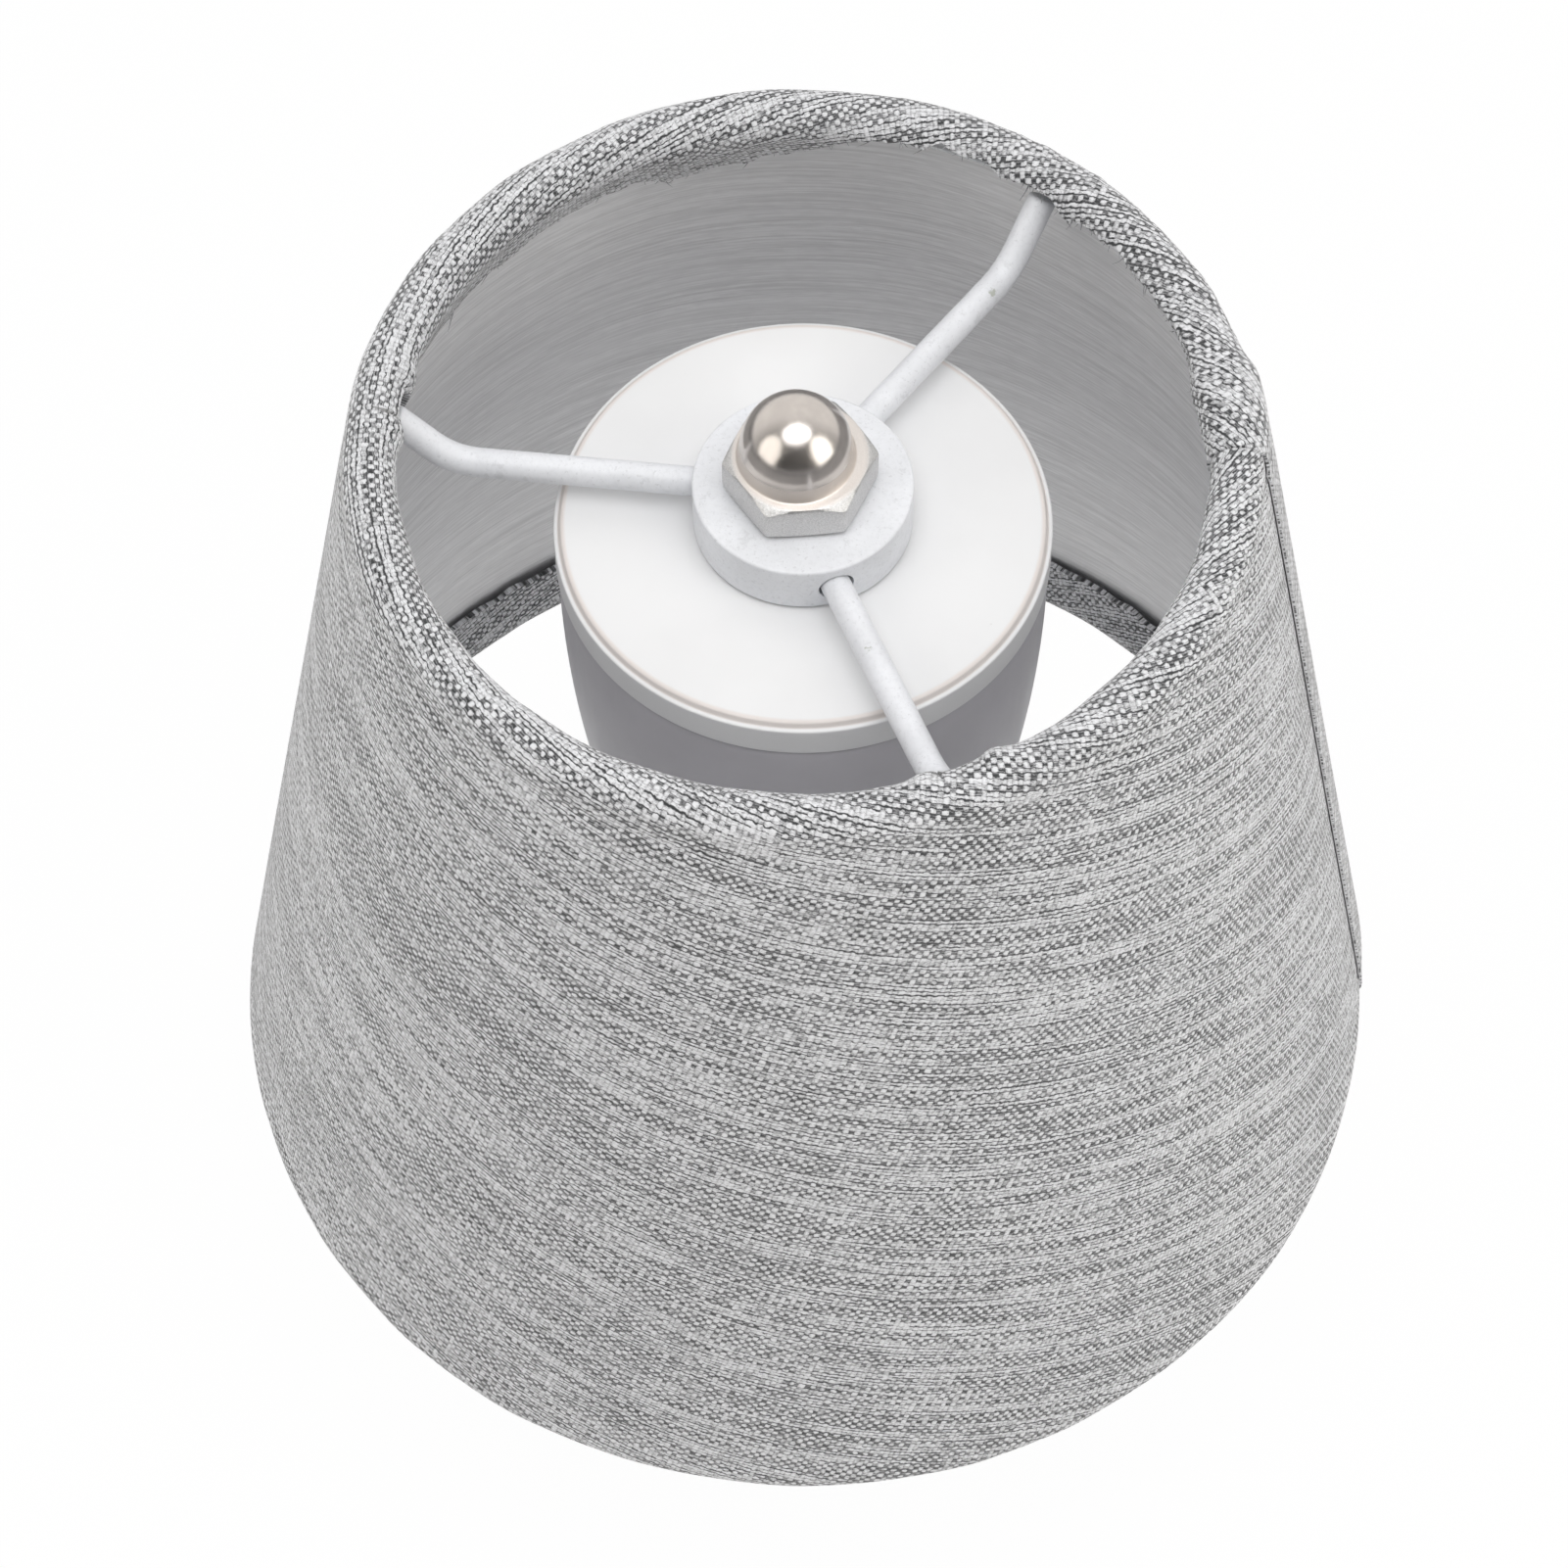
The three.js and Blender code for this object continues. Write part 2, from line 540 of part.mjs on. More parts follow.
// A hexagon nut whose upper corners are chamfered, with a collar and a closed dome. A disc's first corner
// lies at azimuth -90, so the hexagon is turned from there.
function capNut() {
  const cornerRadius = NUT_ACROSS_FLATS / 2 / Math.cos(Math.PI / 6);
  const hexagon = disc(cornerRadius, nutBottom, nutHexTop, 6).rotate([0, 0, 90 + NUT_CORNER_AZIMUTH]);
  const drop = (cornerRadius - NUT_FACE_RADIUS) * Math.tan(radians(NUT_CHAMFER_ANGLE));
  const chamfer = turned(
    [
      [0, nutBottom],
      [cornerRadius - drop / 2, nutBottom],
      [cornerRadius, nutBottom + drop / 2],
      [cornerRadius, nutHexTop - drop],
      [NUT_FACE_RADIUS, nutHexTop],
      [0, nutHexTop],
    ],
    TUBE_SIDES,
  );
  const dome = turned(
    [
      [0, nutHexTop - NUT_COLLAR_HEIGHT],
      [NUT_COLLAR_RADIUS, nutHexTop - NUT_COLLAR_HEIGHT],
      [NUT_COLLAR_RADIUS, nutHexTop],
      ...arc(0, domeCentre, NUT_DOME_RADIUS, 0, 90, CURVE_STEPS).slice(0, -1),
      [0, domeCentre + NUT_DOME_RADIUS],
    ],
    TUBE_SIDES,
  );
  const bore = disc(studHole, nutBottom - CUT_PAST, studTop + NUT_BORE_SPARE, SMALL_SIDES);
  return hexagon.intersect(chamfer).add(dome).subtract(bore);
}

function centreStud() {
  return turned(
    [
      [0, tubeTop - STUD_TAIL_LENGTH],
      [STUD_TAIL_RADIUS, tubeTop - STUD_TAIL_LENGTH],
      [STUD_TAIL_RADIUS, tubeTop],
      [STUD_FLANGE_RADIUS, tubeTop],
      [STUD_FLANGE_RADIUS, lightBoardBottom],
      [STUD_RADIUS, lightBoardBottom],
      [STUD_RADIUS, studTop],
      [0, studTop],
    ],
    SMALL_SIDES,
  );
}

// A dished cap: the flange's underside rests on the diffuser's rim, the board sits in its recess, and
// a slope leads from the flange up to the raised middle.
function topCap() {
  const recessRadius = lightBoardRadius + SEAT_GAP;
  return turned(
    [
      [studHole, lightBoardTop],
      [recessRadius, lightBoardTop],
      [recessRadius, diffuserRim],
      [skirtBore, diffuserRim],
      [skirtBore, skirtBottom],
      [CAP_RADIUS, skirtBottom],
      ...arc(CAP_RADIUS - CAP_EDGE, flangeTop - CAP_EDGE, CAP_EDGE, 0, 90, EDGE_STEPS),
      [capPlateauFoot, flangeTop],
      [capPlateauRadius, plateauTop],
      [studHole, plateauTop],
    ],
    BODY_SIDES,
  );
}

function lightBoard() {
  return ring(studHole, lightBoardRadius, lightBoardBottom, lightBoardTop, BODY_SIDES);
}

// The diffuser's outside narrows towards its foot with the square of the depth below its straight top.
function diffuserRadius(height) {
  const bend = diffuserShoulder - DIFFUSER_STRAIGHT;
  const share = Math.max(0, bend - height) / (bend - deckTop);
  return diffuserTopRadius - (diffuserTopRadius - DIFFUSER_FOOT_RADIUS) * share * share;
}

// Points of the diffuser's side between two heights, a depth inside its outer face.
function diffuserSide(depth, bottom, top) {
  const points = [];
  for (let step = 0; step <= CURVE_STEPS; step += 1) {
    const height = THREE.MathUtils.lerp(bottom, top, step / CURVE_STEPS);
    points.push([diffuserRadius(height) - depth, height]);
  }
  return points;
}

function diffuser() {
  const floorHole = tubeSpigotRadius + SEAT_GAP;
  const rimBore = diffuserNeck - DIFFUSER_RIM_WALL;
  const cup = turned(
    [
      [floorHole, deckTop],
      ...diffuserSide(0, deckTop, diffuserShoulder),
      [diffuserNeck, diffuserShoulder],
      [diffuserNeck, diffuserRim],
      [rimBore, diffuserRim],
      ...diffuserSide(DIFFUSER_WALL, tubeFlangeBottom, diffuserShoulder - DIFFUSER_WALL).reverse(),
      [floorHole, tubeFlangeBottom],
    ],
    BODY_SIDES,
  );
  return cup.subtract(allOf([...tubeScrewHoles(), ...leadHoles()]));
}

function tubeScrewPlaces() {
  return [0, 180].map((azimuth) => around(tubeScrewCircle, azimuth));
}

function tubeScrewHoles() {
  const bottom = tubeFlangeTop - TUBE_SCREW_LENGTH - SCREW_END_ROOM;
  const top = tubeFlangeTop + CUT_PAST;
  return tubeScrewPlaces().map((place) => post(place, screwHole, bottom, top, SCREW_SIDES));
}

function leadHoles() {
  const bottom = deckBottom - CUT_PAST;
  const top = tubeFlangeTop + CUT_PAST;
  return LEAD_AZIMUTHS.map((azimuth) =>
    post(around(leadCircle, azimuth), leadHole, bottom, top, SCREW_SIDES),
  );
}

// The tube is open below, where the cell goes in, and its thick head is tapped for the stud's tail.
function batteryTube() {
  const tailHole = STUD_TAIL_RADIUS + SEAT_GAP;
  const tailFloor = tubeTop - STUD_TAIL_LENGTH - SEAT_GAP;
  const tube = turned(
    [
      [0, tubeCeiling],
      [tubeBore, tubeCeiling],
      [tubeBore, deckTop],
      [tubeSpigotRadius, deckTop],
      [tubeSpigotRadius, tubeFlangeBottom],
      [tubeFlangeRadius, tubeFlangeBottom],
      [tubeFlangeRadius, tubeFlangeTop],
      [tubeOutside, tubeFlangeTop],
      [tubeOutside, tubeTop],
      [tailHole, tubeTop],
      [tailHole, tailFloor],
      [0, tailFloor],
    ],
    TUBE_SIDES,
  );
  return tube.subtract(allOf([...tubeScrewHoles(), ...leadHoles()]));
}

function batteryCell() {
  const shoulder = cellTop - CELL_NUB_HEIGHT;
  return turned(
    [
      [0, cellBottom],
      [CELL_RADIUS, cellBottom],
      [CELL_RADIUS, shoulder],
      [CELL_NUB_RADIUS, shoulder],
      [CELL_NUB_RADIUS, cellTop],
      [0, cellTop],
    ],
    TUBE_SIDES,
  );
}

function upperContact() {
  return disc(CONTACT_RADIUS, tubeCeiling - CONTACT_THICKNESS, tubeCeiling, TUBE_SIDES);
}

// The spring's centreline climbs evenly from the battery seat to the cell.
class SpringLine extends THREE.Curve {
  getPoint(share, target = new THREE.Vector3()) {
    const low = deckBottom + SEAT_GAP + SPRING_WIRE_RADIUS;
    const high = cellBottom - SEAT_GAP - SPRING_WIRE_RADIUS;
    const turn = around(SPRING_COIL_RADIUS, 360 * SPRING_TURNS * share);
    return target.set(turn.x, turn.y, THREE.MathUtils.lerp(low, high, share));
  }
}

function contactSpring() {
  return wireAlong(new SpringLine(), SPRING_WIRE_RADIUS, SPRING_SIDES, SPRING_TURN_STEPS * SPRING_TURNS);
}

function seatScrewPlaces() {
  return [90, 270].map((azimuth) => around(seatScrewCircle, azimuth));
}

function seatScrewHoles() {
  const top = batterySeatBottom + SEAT_SCREW_LENGTH + SCREW_END_ROOM;
  return seatScrewPlaces().map((place) =>
    post(place, screwHole, batterySeatBottom - CUT_PAST, top, SCREW_SIDES),
  );
}

function batterySeat() {
  const bar = box(
    [-batterySeatHalf, -batterySeatReach, batterySeatBottom],
    [batterySeatHalf, batterySeatReach, deckBottom],
  );
  return bar.subtract(allOf(seatScrewHoles()));
}

function lead(azimuth) {
  const place = around(leadCircle, azimuth);
  return post(place, LEAD_RADIUS, controlBoardTop, lightBoardBottom, WIRE_SIDES);
}

function coverBossPlaces() {
  return COVER_BOSS_AZIMUTHS.map((azimuth) => around(coverBossCircle, azimuth));
}

function boardPostPlaces() {
  return [0, 180].map((azimuth) => around(boardPostCircle, azimuth));
}

function buttonHole() {
  const drill = disc(BUTTON_RADIUS + RUNNING_GAP, wallDrillStart, wallDrillEnd, SMALL_SIDES);
  return laidAlong(drill, -90, buttonHeight);
}

function lensHole() {
  const drill = disc(LENS_RADIUS + SEAT_GAP, wallDrillStart, wallDrillEnd, SMALL_SIDES);
  return laidAlong(drill, 90, lensHeight);
}

function socketHole() {
  const half = SOCKET_WIDTH / 2 + SEAT_GAP;
  return box(
    [-half, wallDrillStart, controlBoardTop - SEAT_GAP],
    [half, wallDrillEnd, controlBoardTop + SOCKET_HEIGHT + SEAT_GAP],
  );
}

// The housing is a cup that stands on its mouth: its closed end is the deck that carries the tube.
function baseHousing() {
  const shell = turned(
    [
      [housingCavity, coverBottom],
      [HOUSING_FOOT_RADIUS, coverBottom],
      [DIFFUSER_FOOT_RADIUS, deckTop],
      [deckHoleRadius, deckTop],
      [deckHoleRadius, deckBottom],
      [housingCavity, deckBottom],
    ],
    BODY_SIDES,
  );
  const inDeck = deckBottom + DECK_THICKNESS / 2;
  const bosses = coverBossPlaces().map((place) =>
    post(place, COVER_BOSS_RADIUS, coverTop, inDeck, SMALL_SIDES),
  );
  const posts = boardPostPlaces().map((place) =>
    post(place, BOARD_POST_RADIUS, controlBoardTop, inDeck, SMALL_SIDES),
  );
  const coverPilotTop = coverScrewSeat + COVER_SCREW_LENGTH + SCREW_END_ROOM;
  const coverPilots = coverBossPlaces().map((place) =>
    post(place, screwHole, coverTop - CUT_PAST, coverPilotTop, SCREW_SIDES),
  );
  const boardPilotTop = CONTROL_BOARD_HEIGHT + BOARD_SCREW_LENGTH + SCREW_END_ROOM;
  const boardPilots = boardPostPlaces().map((place) =>
    post(place, screwHole, controlBoardTop - CUT_PAST, boardPilotTop, SCREW_SIDES),
  );
  const cuts = allOf([
    ...coverPilots,
    ...boardPilots,
    ...tubeScrewHoles(),
    ...seatScrewHoles(),
    ...leadHoles(),
    buttonHole(),
    lensHole(),
    socketHole(),
  ]);
  return allOf([shell, ...bosses, ...posts]).subtract(cuts);
}

// A plate with a long hollow spigot that goes down through the stopper.
function bottomCover() {
  const bore = STOPPER_SCREW_RADIUS + SEAT_GAP;
  const plate = turned(
    [
      [0, spigotBoreTop],
      [bore, spigotBoreTop],
      [bore, spigotEnd],
      [SPIGOT_RADIUS, spigotEnd],
      [SPIGOT_RADIUS, coverBottom],
      [coverRadius, coverBottom],
      [coverRadius, coverTop],
      [0, coverTop],
    ],
    BODY_SIDES,
  );
  const cuts = coverBossPlaces().flatMap((place) => [
    post(place, screwHole, coverBottom - CUT_PAST, coverTop + CUT_PAST, SCREW_SIDES),
    post(place, SCREW_HEAD_RADIUS + SEAT_GAP, coverBottom - CUT_PAST, coverScrewSeat, SCREW_SIDES),
  ]);
  return plate.subtract(allOf(cuts));
}

// A screw with its head's underside at height 0 and its shank pointing up.
function screw(headRadius, headHeight, shankRadius, length) {
  const body = turned(
    [
      [0, -headHeight],
      [headRadius - SCREW_HEAD_EDGE, -headHeight],
      [headRadius, SCREW_HEAD_EDGE - headHeight],
      [headRadius, 0],
      [shankRadius, 0],
      [shankRadius, length],
      [0, length],
    ],
    SCREW_SIDES,
  );
  const socket = disc(SCREW_SOCKET_RADIUS, -headHeight - CUT_PAST, SCREW_SOCKET_DEPTH - headHeight, 6);
  return body.subtract(socket);
}

function smallScrew(length) {
  return screw(SCREW_HEAD_RADIUS, SCREW_HEAD_HEIGHT, SCREW_RADIUS, length);
}

// Two strips crossed, so that the corners leave room for the cover's bosses. Its front edge lies under the
// switch's face, clear of the button.
function controlBoard() {
  const long = box(
    [-controlBoardReach, -controlBoardHalf, CONTROL_BOARD_HEIGHT],
    [controlBoardReach, controlBoardHalf, controlBoardTop],
  );
  const cross = box(
    [-controlBoardHalf, -switchFace, CONTROL_BOARD_HEIGHT],
    [controlBoardHalf, controlBoardReach, controlBoardTop],
  );
  const holes = boardPostPlaces().map((place) =>
    post(place, screwHole, CONTROL_BOARD_HEIGHT - CUT_PAST, controlBoardTop + CUT_PAST, SCREW_SIDES),
  );
  return long.add(cross).subtract(allOf(holes));
}

// The socket's mouth lies in the housing's outer face. A tongue stands in its hollow shell.
function usbPort() {
  const mouth = HOUSING_FOOT_RADIUS;
  const back = mouth - SOCKET_LENGTH;
  const half = SOCKET_WIDTH / 2;
  const top = controlBoardTop + SOCKET_HEIGHT;
  const shell = box([-half, back, controlBoardTop], [half, mouth, top]);
  const hollow = box(
    [-half + SOCKET_WALL, back + SOCKET_WALL, controlBoardTop + SOCKET_WALL],
    [half - SOCKET_WALL, mouth + CUT_PAST, top - SOCKET_WALL],
  );
  const [width, length, thickness] = SOCKET_TONGUE;
  const middle = (controlBoardTop + top) / 2;
  const tongue = box(
    [-width / 2, back, middle - thickness / 2],
    [width / 2, back + SOCKET_WALL + length, middle + thickness / 2],
  );
  return shell.subtract(hollow).add(tongue);
}

function tactSwitch() {
  const [width, length, height] = SWITCH_SIZE;
  const body = box(
    [-width / 2, -switchFace, controlBoardTop],
    [width / 2, length - switchFace, controlBoardTop + height],
  );
  const wellRadius = PLUNGER_RADIUS + RUNNING_GAP;
  const well = disc(wellRadius, switchFace - PLUNGER_WELL, switchFace + CUT_PAST, SMALL_SIDES);
  return body.subtract(laidAlong(well, -90, buttonHeight));
}

// The button's flange lies just inside the round wall and keeps the button in.
function powerButton() {
  const face = HOUSING_FOOT_RADIUS + BUTTON_PROUD;
  const cap = turned(
    [
      [0, buttonBack],
      [BUTTON_FLANGE_RADIUS, buttonBack],
      [BUTTON_FLANGE_RADIUS, buttonFlangeFace],
      [BUTTON_RADIUS, buttonFlangeFace],
      [BUTTON_RADIUS, face - BUTTON_EDGE],
      [BUTTON_RADIUS - BUTTON_EDGE, face],
      [0, face],
    ],
    SMALL_SIDES,
  );
  return laidAlong(cap, -90, buttonHeight);
}

function switchPlunger() {
  const pin = disc(PLUNGER_RADIUS, switchFace - PLUNGER_REACH, buttonBack, SMALL_SIDES);
  return laidAlong(pin, -90, buttonHeight);
}

function chargeLens() {
  const back = lensFlangeFace - LENS_FLANGE_THICKNESS;
  const lens = turned(
    [
      [0, back],
      [LENS_FLANGE_RADIUS, back],
      [LENS_FLANGE_RADIUS, lensFlangeFace],
      [LENS_RADIUS, lensFlangeFace],
      [LENS_RADIUS, HOUSING_FOOT_RADIUS],
      [0, HOUSING_FOOT_RADIUS],
    ],
    SCREW_SIDES,
  );
  return laidAlong(lens, 90, lensHeight);
}

function chargeLed() {
  const [width, length, height] = CHARGE_LED_SIZE;
  return box(
    [-width / 2, CHARGE_LED_PLACE - length / 2, controlBoardTop],
    [width / 2, CHARGE_LED_PLACE + length / 2, controlBoardTop + height],
  );
}

// The plug narrows from root to tip, and its ribs are even rings that grip the bottle's neck. A rib's
// profile is four points: its place as a share of the rib's height, and its share of the full rise.
function stopper() {
  const pitch = STOPPER_LENGTH / (STOPPER_RIBS + 1);
  const side = [];
  for (let rib = STOPPER_RIBS; rib >= 1; rib -= 1) {
    const middle = -pitch * rib;
    for (const [offset, proud] of [[-0.5, 0], [-0.25, 1], [0.25, 1], [0.5, 0]]) {
      const height = middle + offset * STOPPER_RIB_HEIGHT;
      const core = THREE.MathUtils.lerp(STOPPER_ROOT_RADIUS, STOPPER_TIP_RADIUS, -height / STOPPER_LENGTH);
      side.push([core + proud * STOPPER_RIB_PROUD, height]);
    }
  }
  const bore = SPIGOT_RADIUS + SEAT_GAP;
  return turned(
    [
      [STOPPER_POCKET_RADIUS, -STOPPER_LENGTH],
      [STOPPER_TIP_RADIUS, -STOPPER_LENGTH],
      ...side,
      [STOPPER_ROOT_RADIUS, 0],
      [stopperFlangeRadius, 0],
      [stopperFlangeRadius, STOPPER_FLANGE_THICKNESS],
      [bore, STOPPER_FLANGE_THICKNESS],
      [bore, stopperPocketTop],
      [STOPPER_POCKET_RADIUS, stopperPocketTop],
    ],
    TUBE_SIDES,
  );
}

function stopperWasher() {
  const bore = STOPPER_SCREW_RADIUS + SEAT_GAP;
  return ring(bore, WASHER_RADIUS, stopperScrewSeat, stopperPocketTop, SMALL_SIDES);
}

function stopperScrew() {
  const headRadius = STOPPER_SCREW_HEAD_RADIUS;
  return screw(headRadius, STOPPER_SCREW_HEAD_HEIGHT, STOPPER_SCREW_RADIUS, STOPPER_SCREW_LENGTH);
}

// Finishes
const finish = (color, roughness, metalness) => ({ color, roughness, metalness });
const WOVEN_CLOTH = finish(0xb4b4b6, 0.95, 0);
const GREY_LINER = finish(0xa4a6ab, 0.5, 0);
const BARE_WIRE = finish(0xb0b2b4, 0.4, 1);
const WHITE_ENAMEL = finish(0xe9eaee, 0.35, 0);
const WARM_WHITE = finish(0xefefec, 0.4, 0);
const NICKEL = finish(0x8f8a84, 0.15, 1);
const STEEL = finish(0xa8aaac, 0.35, 1);
const ALUMINIUM = finish(0xc4c6c8, 0.4, 1);
const SMOKED_OPAL = finish(0x8c8b90, 0.3, 0);
const BOARD_WHITE = finish(0xe6e8e4, 0.5, 0);
const BOARD_GREEN = finish(0x2f5a44, 0.5, 0);
const LED_YELLOW = finish(0xe6d98a, 0.4, 0);
const CELL_WRAP = finish(0x5c6f86, 0.4, 0);
const BRASS = finish(0xb79a5a, 0.3, 1);
const WHITE_PLASTIC = finish(0xe4e4e2, 0.5, 0);
const DARK_PLASTIC = finish(0x2c2d30, 0.6, 0);
const LENS_CLEAR = finish(0xd8dcdc, 0.1, 0);
const STOPPER_RUBBER = finish(0x3a3a3c, 0.85, 0);

const lamp = new THREE.Group();
lamp.name = 'bottle_lamp';

function addMesh(name, shape, look) {
  const mesh = new THREE.Mesh(geometryOf(shape), new THREE.MeshStandardMaterial(look));
  mesh.name = name;
  lamp.add(mesh);
  return mesh;
}

function addShade() {
  addMesh('shade_fabric', shadeFabric(), WOVEN_CLOTH);
  addMesh('shade_liner', shadeLiner(), GREY_LINER);
  addMesh('top_ring_wire', ringWire(topRingRadius, topRingHeight, TOP_WIRE_RADIUS), BARE_WIRE);
  addMesh('bottom_ring_wire', ringWire(bottomRingRadius, bottomRingHeight, BOTTOM_WIRE_RADIUS), BARE_WIRE);
  ARMS.forEach((arm) => addMesh(arm.name, spiderArm(arm), WHITE_ENAMEL));
  addMesh('spider_hub', spiderHub(), WHITE_ENAMEL);
}

function addHead() {
  addMesh('cap_nut', capNut(), NICKEL);
  addMesh('centre_stud', centreStud(), STEEL);
  addMesh('top_cap', topCap(), WARM_WHITE);
  addMesh('led_board', lightBoard(), BOARD_WHITE);
  for (let count = 0; count < LED_COUNT; count += 1) {
    const azimuth = (360 * count) / LED_COUNT + 180 / LED_COUNT;
    const chip = solid(new THREE.BoxGeometry(...LED_SIZE));
    const mesh = addMesh(`led_${count + 1}`, chip, LED_YELLOW);
    mesh.position.copy(around(ledCircle, azimuth, lightBoardBottom - LED_SIZE[2] / 2));
    mesh.rotation.z = radians(azimuth);
  }
  addMesh('diffuser', diffuser(), SMOKED_OPAL);
}

function addBattery() {
  addMesh('battery_tube', batteryTube(), ALUMINIUM);
  addMesh('battery_cell', batteryCell(), CELL_WRAP);
  addMesh('upper_contact', upperContact(), BRASS);
  addMesh('contact_spring', contactSpring(), STEEL);
  addMesh('battery_seat', batterySeat(), DARK_PLASTIC);
  LEAD_AZIMUTHS.forEach((azimuth, index) => addMesh(`led_lead_${index + 1}`, lead(azimuth), DARK_PLASTIC));
}

function addControls() {
  addMesh('control_board', controlBoard(), BOARD_GREEN);
  addMesh('usb_port', usbPort(), STEEL);
  addMesh('tact_switch', tactSwitch(), DARK_PLASTIC);
  addMesh('switch_plunger', switchPlunger(), WHITE_PLASTIC);
  addMesh('power_button', powerButton(), WHITE_PLASTIC);
  addMesh('charge_led', chargeLed(), LED_YELLOW);
  addMesh('charge_lens', chargeLens(), LENS_CLEAR);
}

function addBase() {
  addMesh('base_housing', baseHousing(), WARM_WHITE);
  addMesh('bottom_cover', bottomCover(), WHITE_PLASTIC);
  addMesh('stopper', stopper(), STOPPER_RUBBER);
  addMesh('stopper_washer', stopperWasher(), STEEL);
  const held = addMesh('stopper_screw', stopperScrew(), STEEL);
  held.position.z = stopperScrewSeat;
}

// Like screws are placed by their head's seat. The tube's screws point down, the others up.
function addScrews(name, places, length, seat, pointsDown) {
  places.forEach((place, index) => {
    const mesh = addMesh(`${name}_${index + 1}`, smallScrew(length), STEEL);
    mesh.position.set(place.x, place.y, seat);
    mesh.rotation.x = pointsDown ? Math.PI : 0;
  });
}

addShade();
addHead();
addBattery();
addControls();
addBase();
addScrews('cover_screw', coverBossPlaces(), COVER_SCREW_LENGTH, coverScrewSeat, false);
addScrews('board_screw', boardPostPlaces(), BOARD_SCREW_LENGTH, CONTROL_BOARD_HEIGHT, false);
addScrews('seat_screw', seatScrewPlaces(), SEAT_SCREW_LENGTH, batterySeatBottom, false);
addScrews('tube_screw', tubeScrewPlaces(), TUBE_SCREW_LENGTH, tubeFlangeTop, true);

export default lamp;
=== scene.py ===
"""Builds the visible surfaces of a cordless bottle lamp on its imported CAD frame.

Everything is in metres in the CAD model's frame: +Z up along the lamp's axis, with the origin where the
stopper's flange rests on the bottle's lip. Angles are in radians, azimuths run from +X towards +Y.
"""

import json
import math

import bmesh
import bpy
import numpy as np
from mathutils import Matrix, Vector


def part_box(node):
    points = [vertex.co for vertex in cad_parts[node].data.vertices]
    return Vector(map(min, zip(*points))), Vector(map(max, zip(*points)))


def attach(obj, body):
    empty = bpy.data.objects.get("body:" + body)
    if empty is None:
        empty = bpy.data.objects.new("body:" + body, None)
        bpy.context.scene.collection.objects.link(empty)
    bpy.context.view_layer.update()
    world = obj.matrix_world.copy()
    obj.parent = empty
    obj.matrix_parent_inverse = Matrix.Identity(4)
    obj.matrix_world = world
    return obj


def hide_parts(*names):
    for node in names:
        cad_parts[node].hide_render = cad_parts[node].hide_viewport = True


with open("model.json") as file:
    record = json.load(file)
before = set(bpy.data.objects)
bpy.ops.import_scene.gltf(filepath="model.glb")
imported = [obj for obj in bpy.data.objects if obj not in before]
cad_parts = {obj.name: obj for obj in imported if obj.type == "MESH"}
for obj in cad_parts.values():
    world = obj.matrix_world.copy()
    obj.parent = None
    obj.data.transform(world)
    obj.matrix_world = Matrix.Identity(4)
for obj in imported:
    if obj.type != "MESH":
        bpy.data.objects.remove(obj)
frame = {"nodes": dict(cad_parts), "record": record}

bl_info = {
    "name": "Bottle lamp",
    "version": (1, 0, 0),
    "blender": (4, 5, 0),
    "location": "View3D > Sidebar > Bottle lamp",
    "description": "Builds the visible surfaces of a bottle lamp on its packed frame",
    "category": "Object",
}

MM = 0.001
TURN = 2 * math.pi
SENSOR_WIDTH = 36
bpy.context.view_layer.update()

HUB_LOW, HUB_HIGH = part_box("spider_hub")
NUT_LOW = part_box("cap_nut")[0]
CAP_LOW, CAP_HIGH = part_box("top_cap")
DIFFUSER_LOW, DIFFUSER_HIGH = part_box("diffuser")
HOUSING_LOW, HOUSING_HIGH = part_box("base_housing")
STOPPER_LOW, STOPPER_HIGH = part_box("stopper")
BUTTON_LOW, BUTTON_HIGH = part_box("power_button")
BUTTON_HEIGHT = 15.6 * MM

# Each arm: its name, its azimuth at the hub and at the ring, in degrees.
ARMS = [
    ("left", 167.7, 171.7),
    ("front", -73.0, -69.2),
    ("back", 56.6, 52.7),
]

# How much cloth is turned in past the top of the upper roll: azimuth in degrees, length in millimetres.
TURN_IN = [
    (-180, 10), (-150, 9), (-120, 9), (-90, 9), (-60, 8.5), (-35, 8), (-15, 7), (3, 6), (13, 5.5),
    (20, 3.6), (30, 3.4), (42, 3.4), (50, 4), (64, 3), (74, 3.4), (83, 5), (89, 8), (98, 10),
    (108, 11), (115, 9), (130, 9.5), (146, 11), (155, 10.5), (165, 9.5), (180, 10),
]

# Frayed threads that are longer than the rest: azimuth in degrees, length in millimetres.
STRAY_THREADS = [
    (109, 2.6), (107.5, 1.9), (146, 2.8), (144.5, 2.0), (12, 2.4), (11, 1.6), (83, 1.8), (30, 1.5),
]

# Chipped spots of the enamel: their place and their size, in millimetres.
ENAMEL_CHIPS = [
    (-12.2, -2.1, 102.6, 1.1),
    (19.8, 24.6, 104.8, 0.9),
    (5.9, -18.7, 104.6, 0.8),
    (-31.0, 2.2, 104.9, 0.5),
]

# The plain finish of the CAD parts that stay: the slots of bare metal, and each roughness that isn't
# the usual one.
BARE_METALS = {"steel", "bare_wire", "brass", "aluminium", "nickel"}
USUAL_ROUGHNESS = 0.42
SLOT_ROUGHNESS = {
    "dark_plastic": 0.55, "lens_clear": 0.12, "brass": 0.28, "led_yellow": 0.3, "cell_wrap": 0.35,
}


def length(name, description, default):
    return bpy.props.FloatProperty(
        name=name, description=description, default=default, unit="LENGTH", precision=5
    )


def angle(name, description, degrees):
    return bpy.props.FloatProperty(
        name=name, description=description, default=math.radians(degrees), subtype="ANGLE"
    )


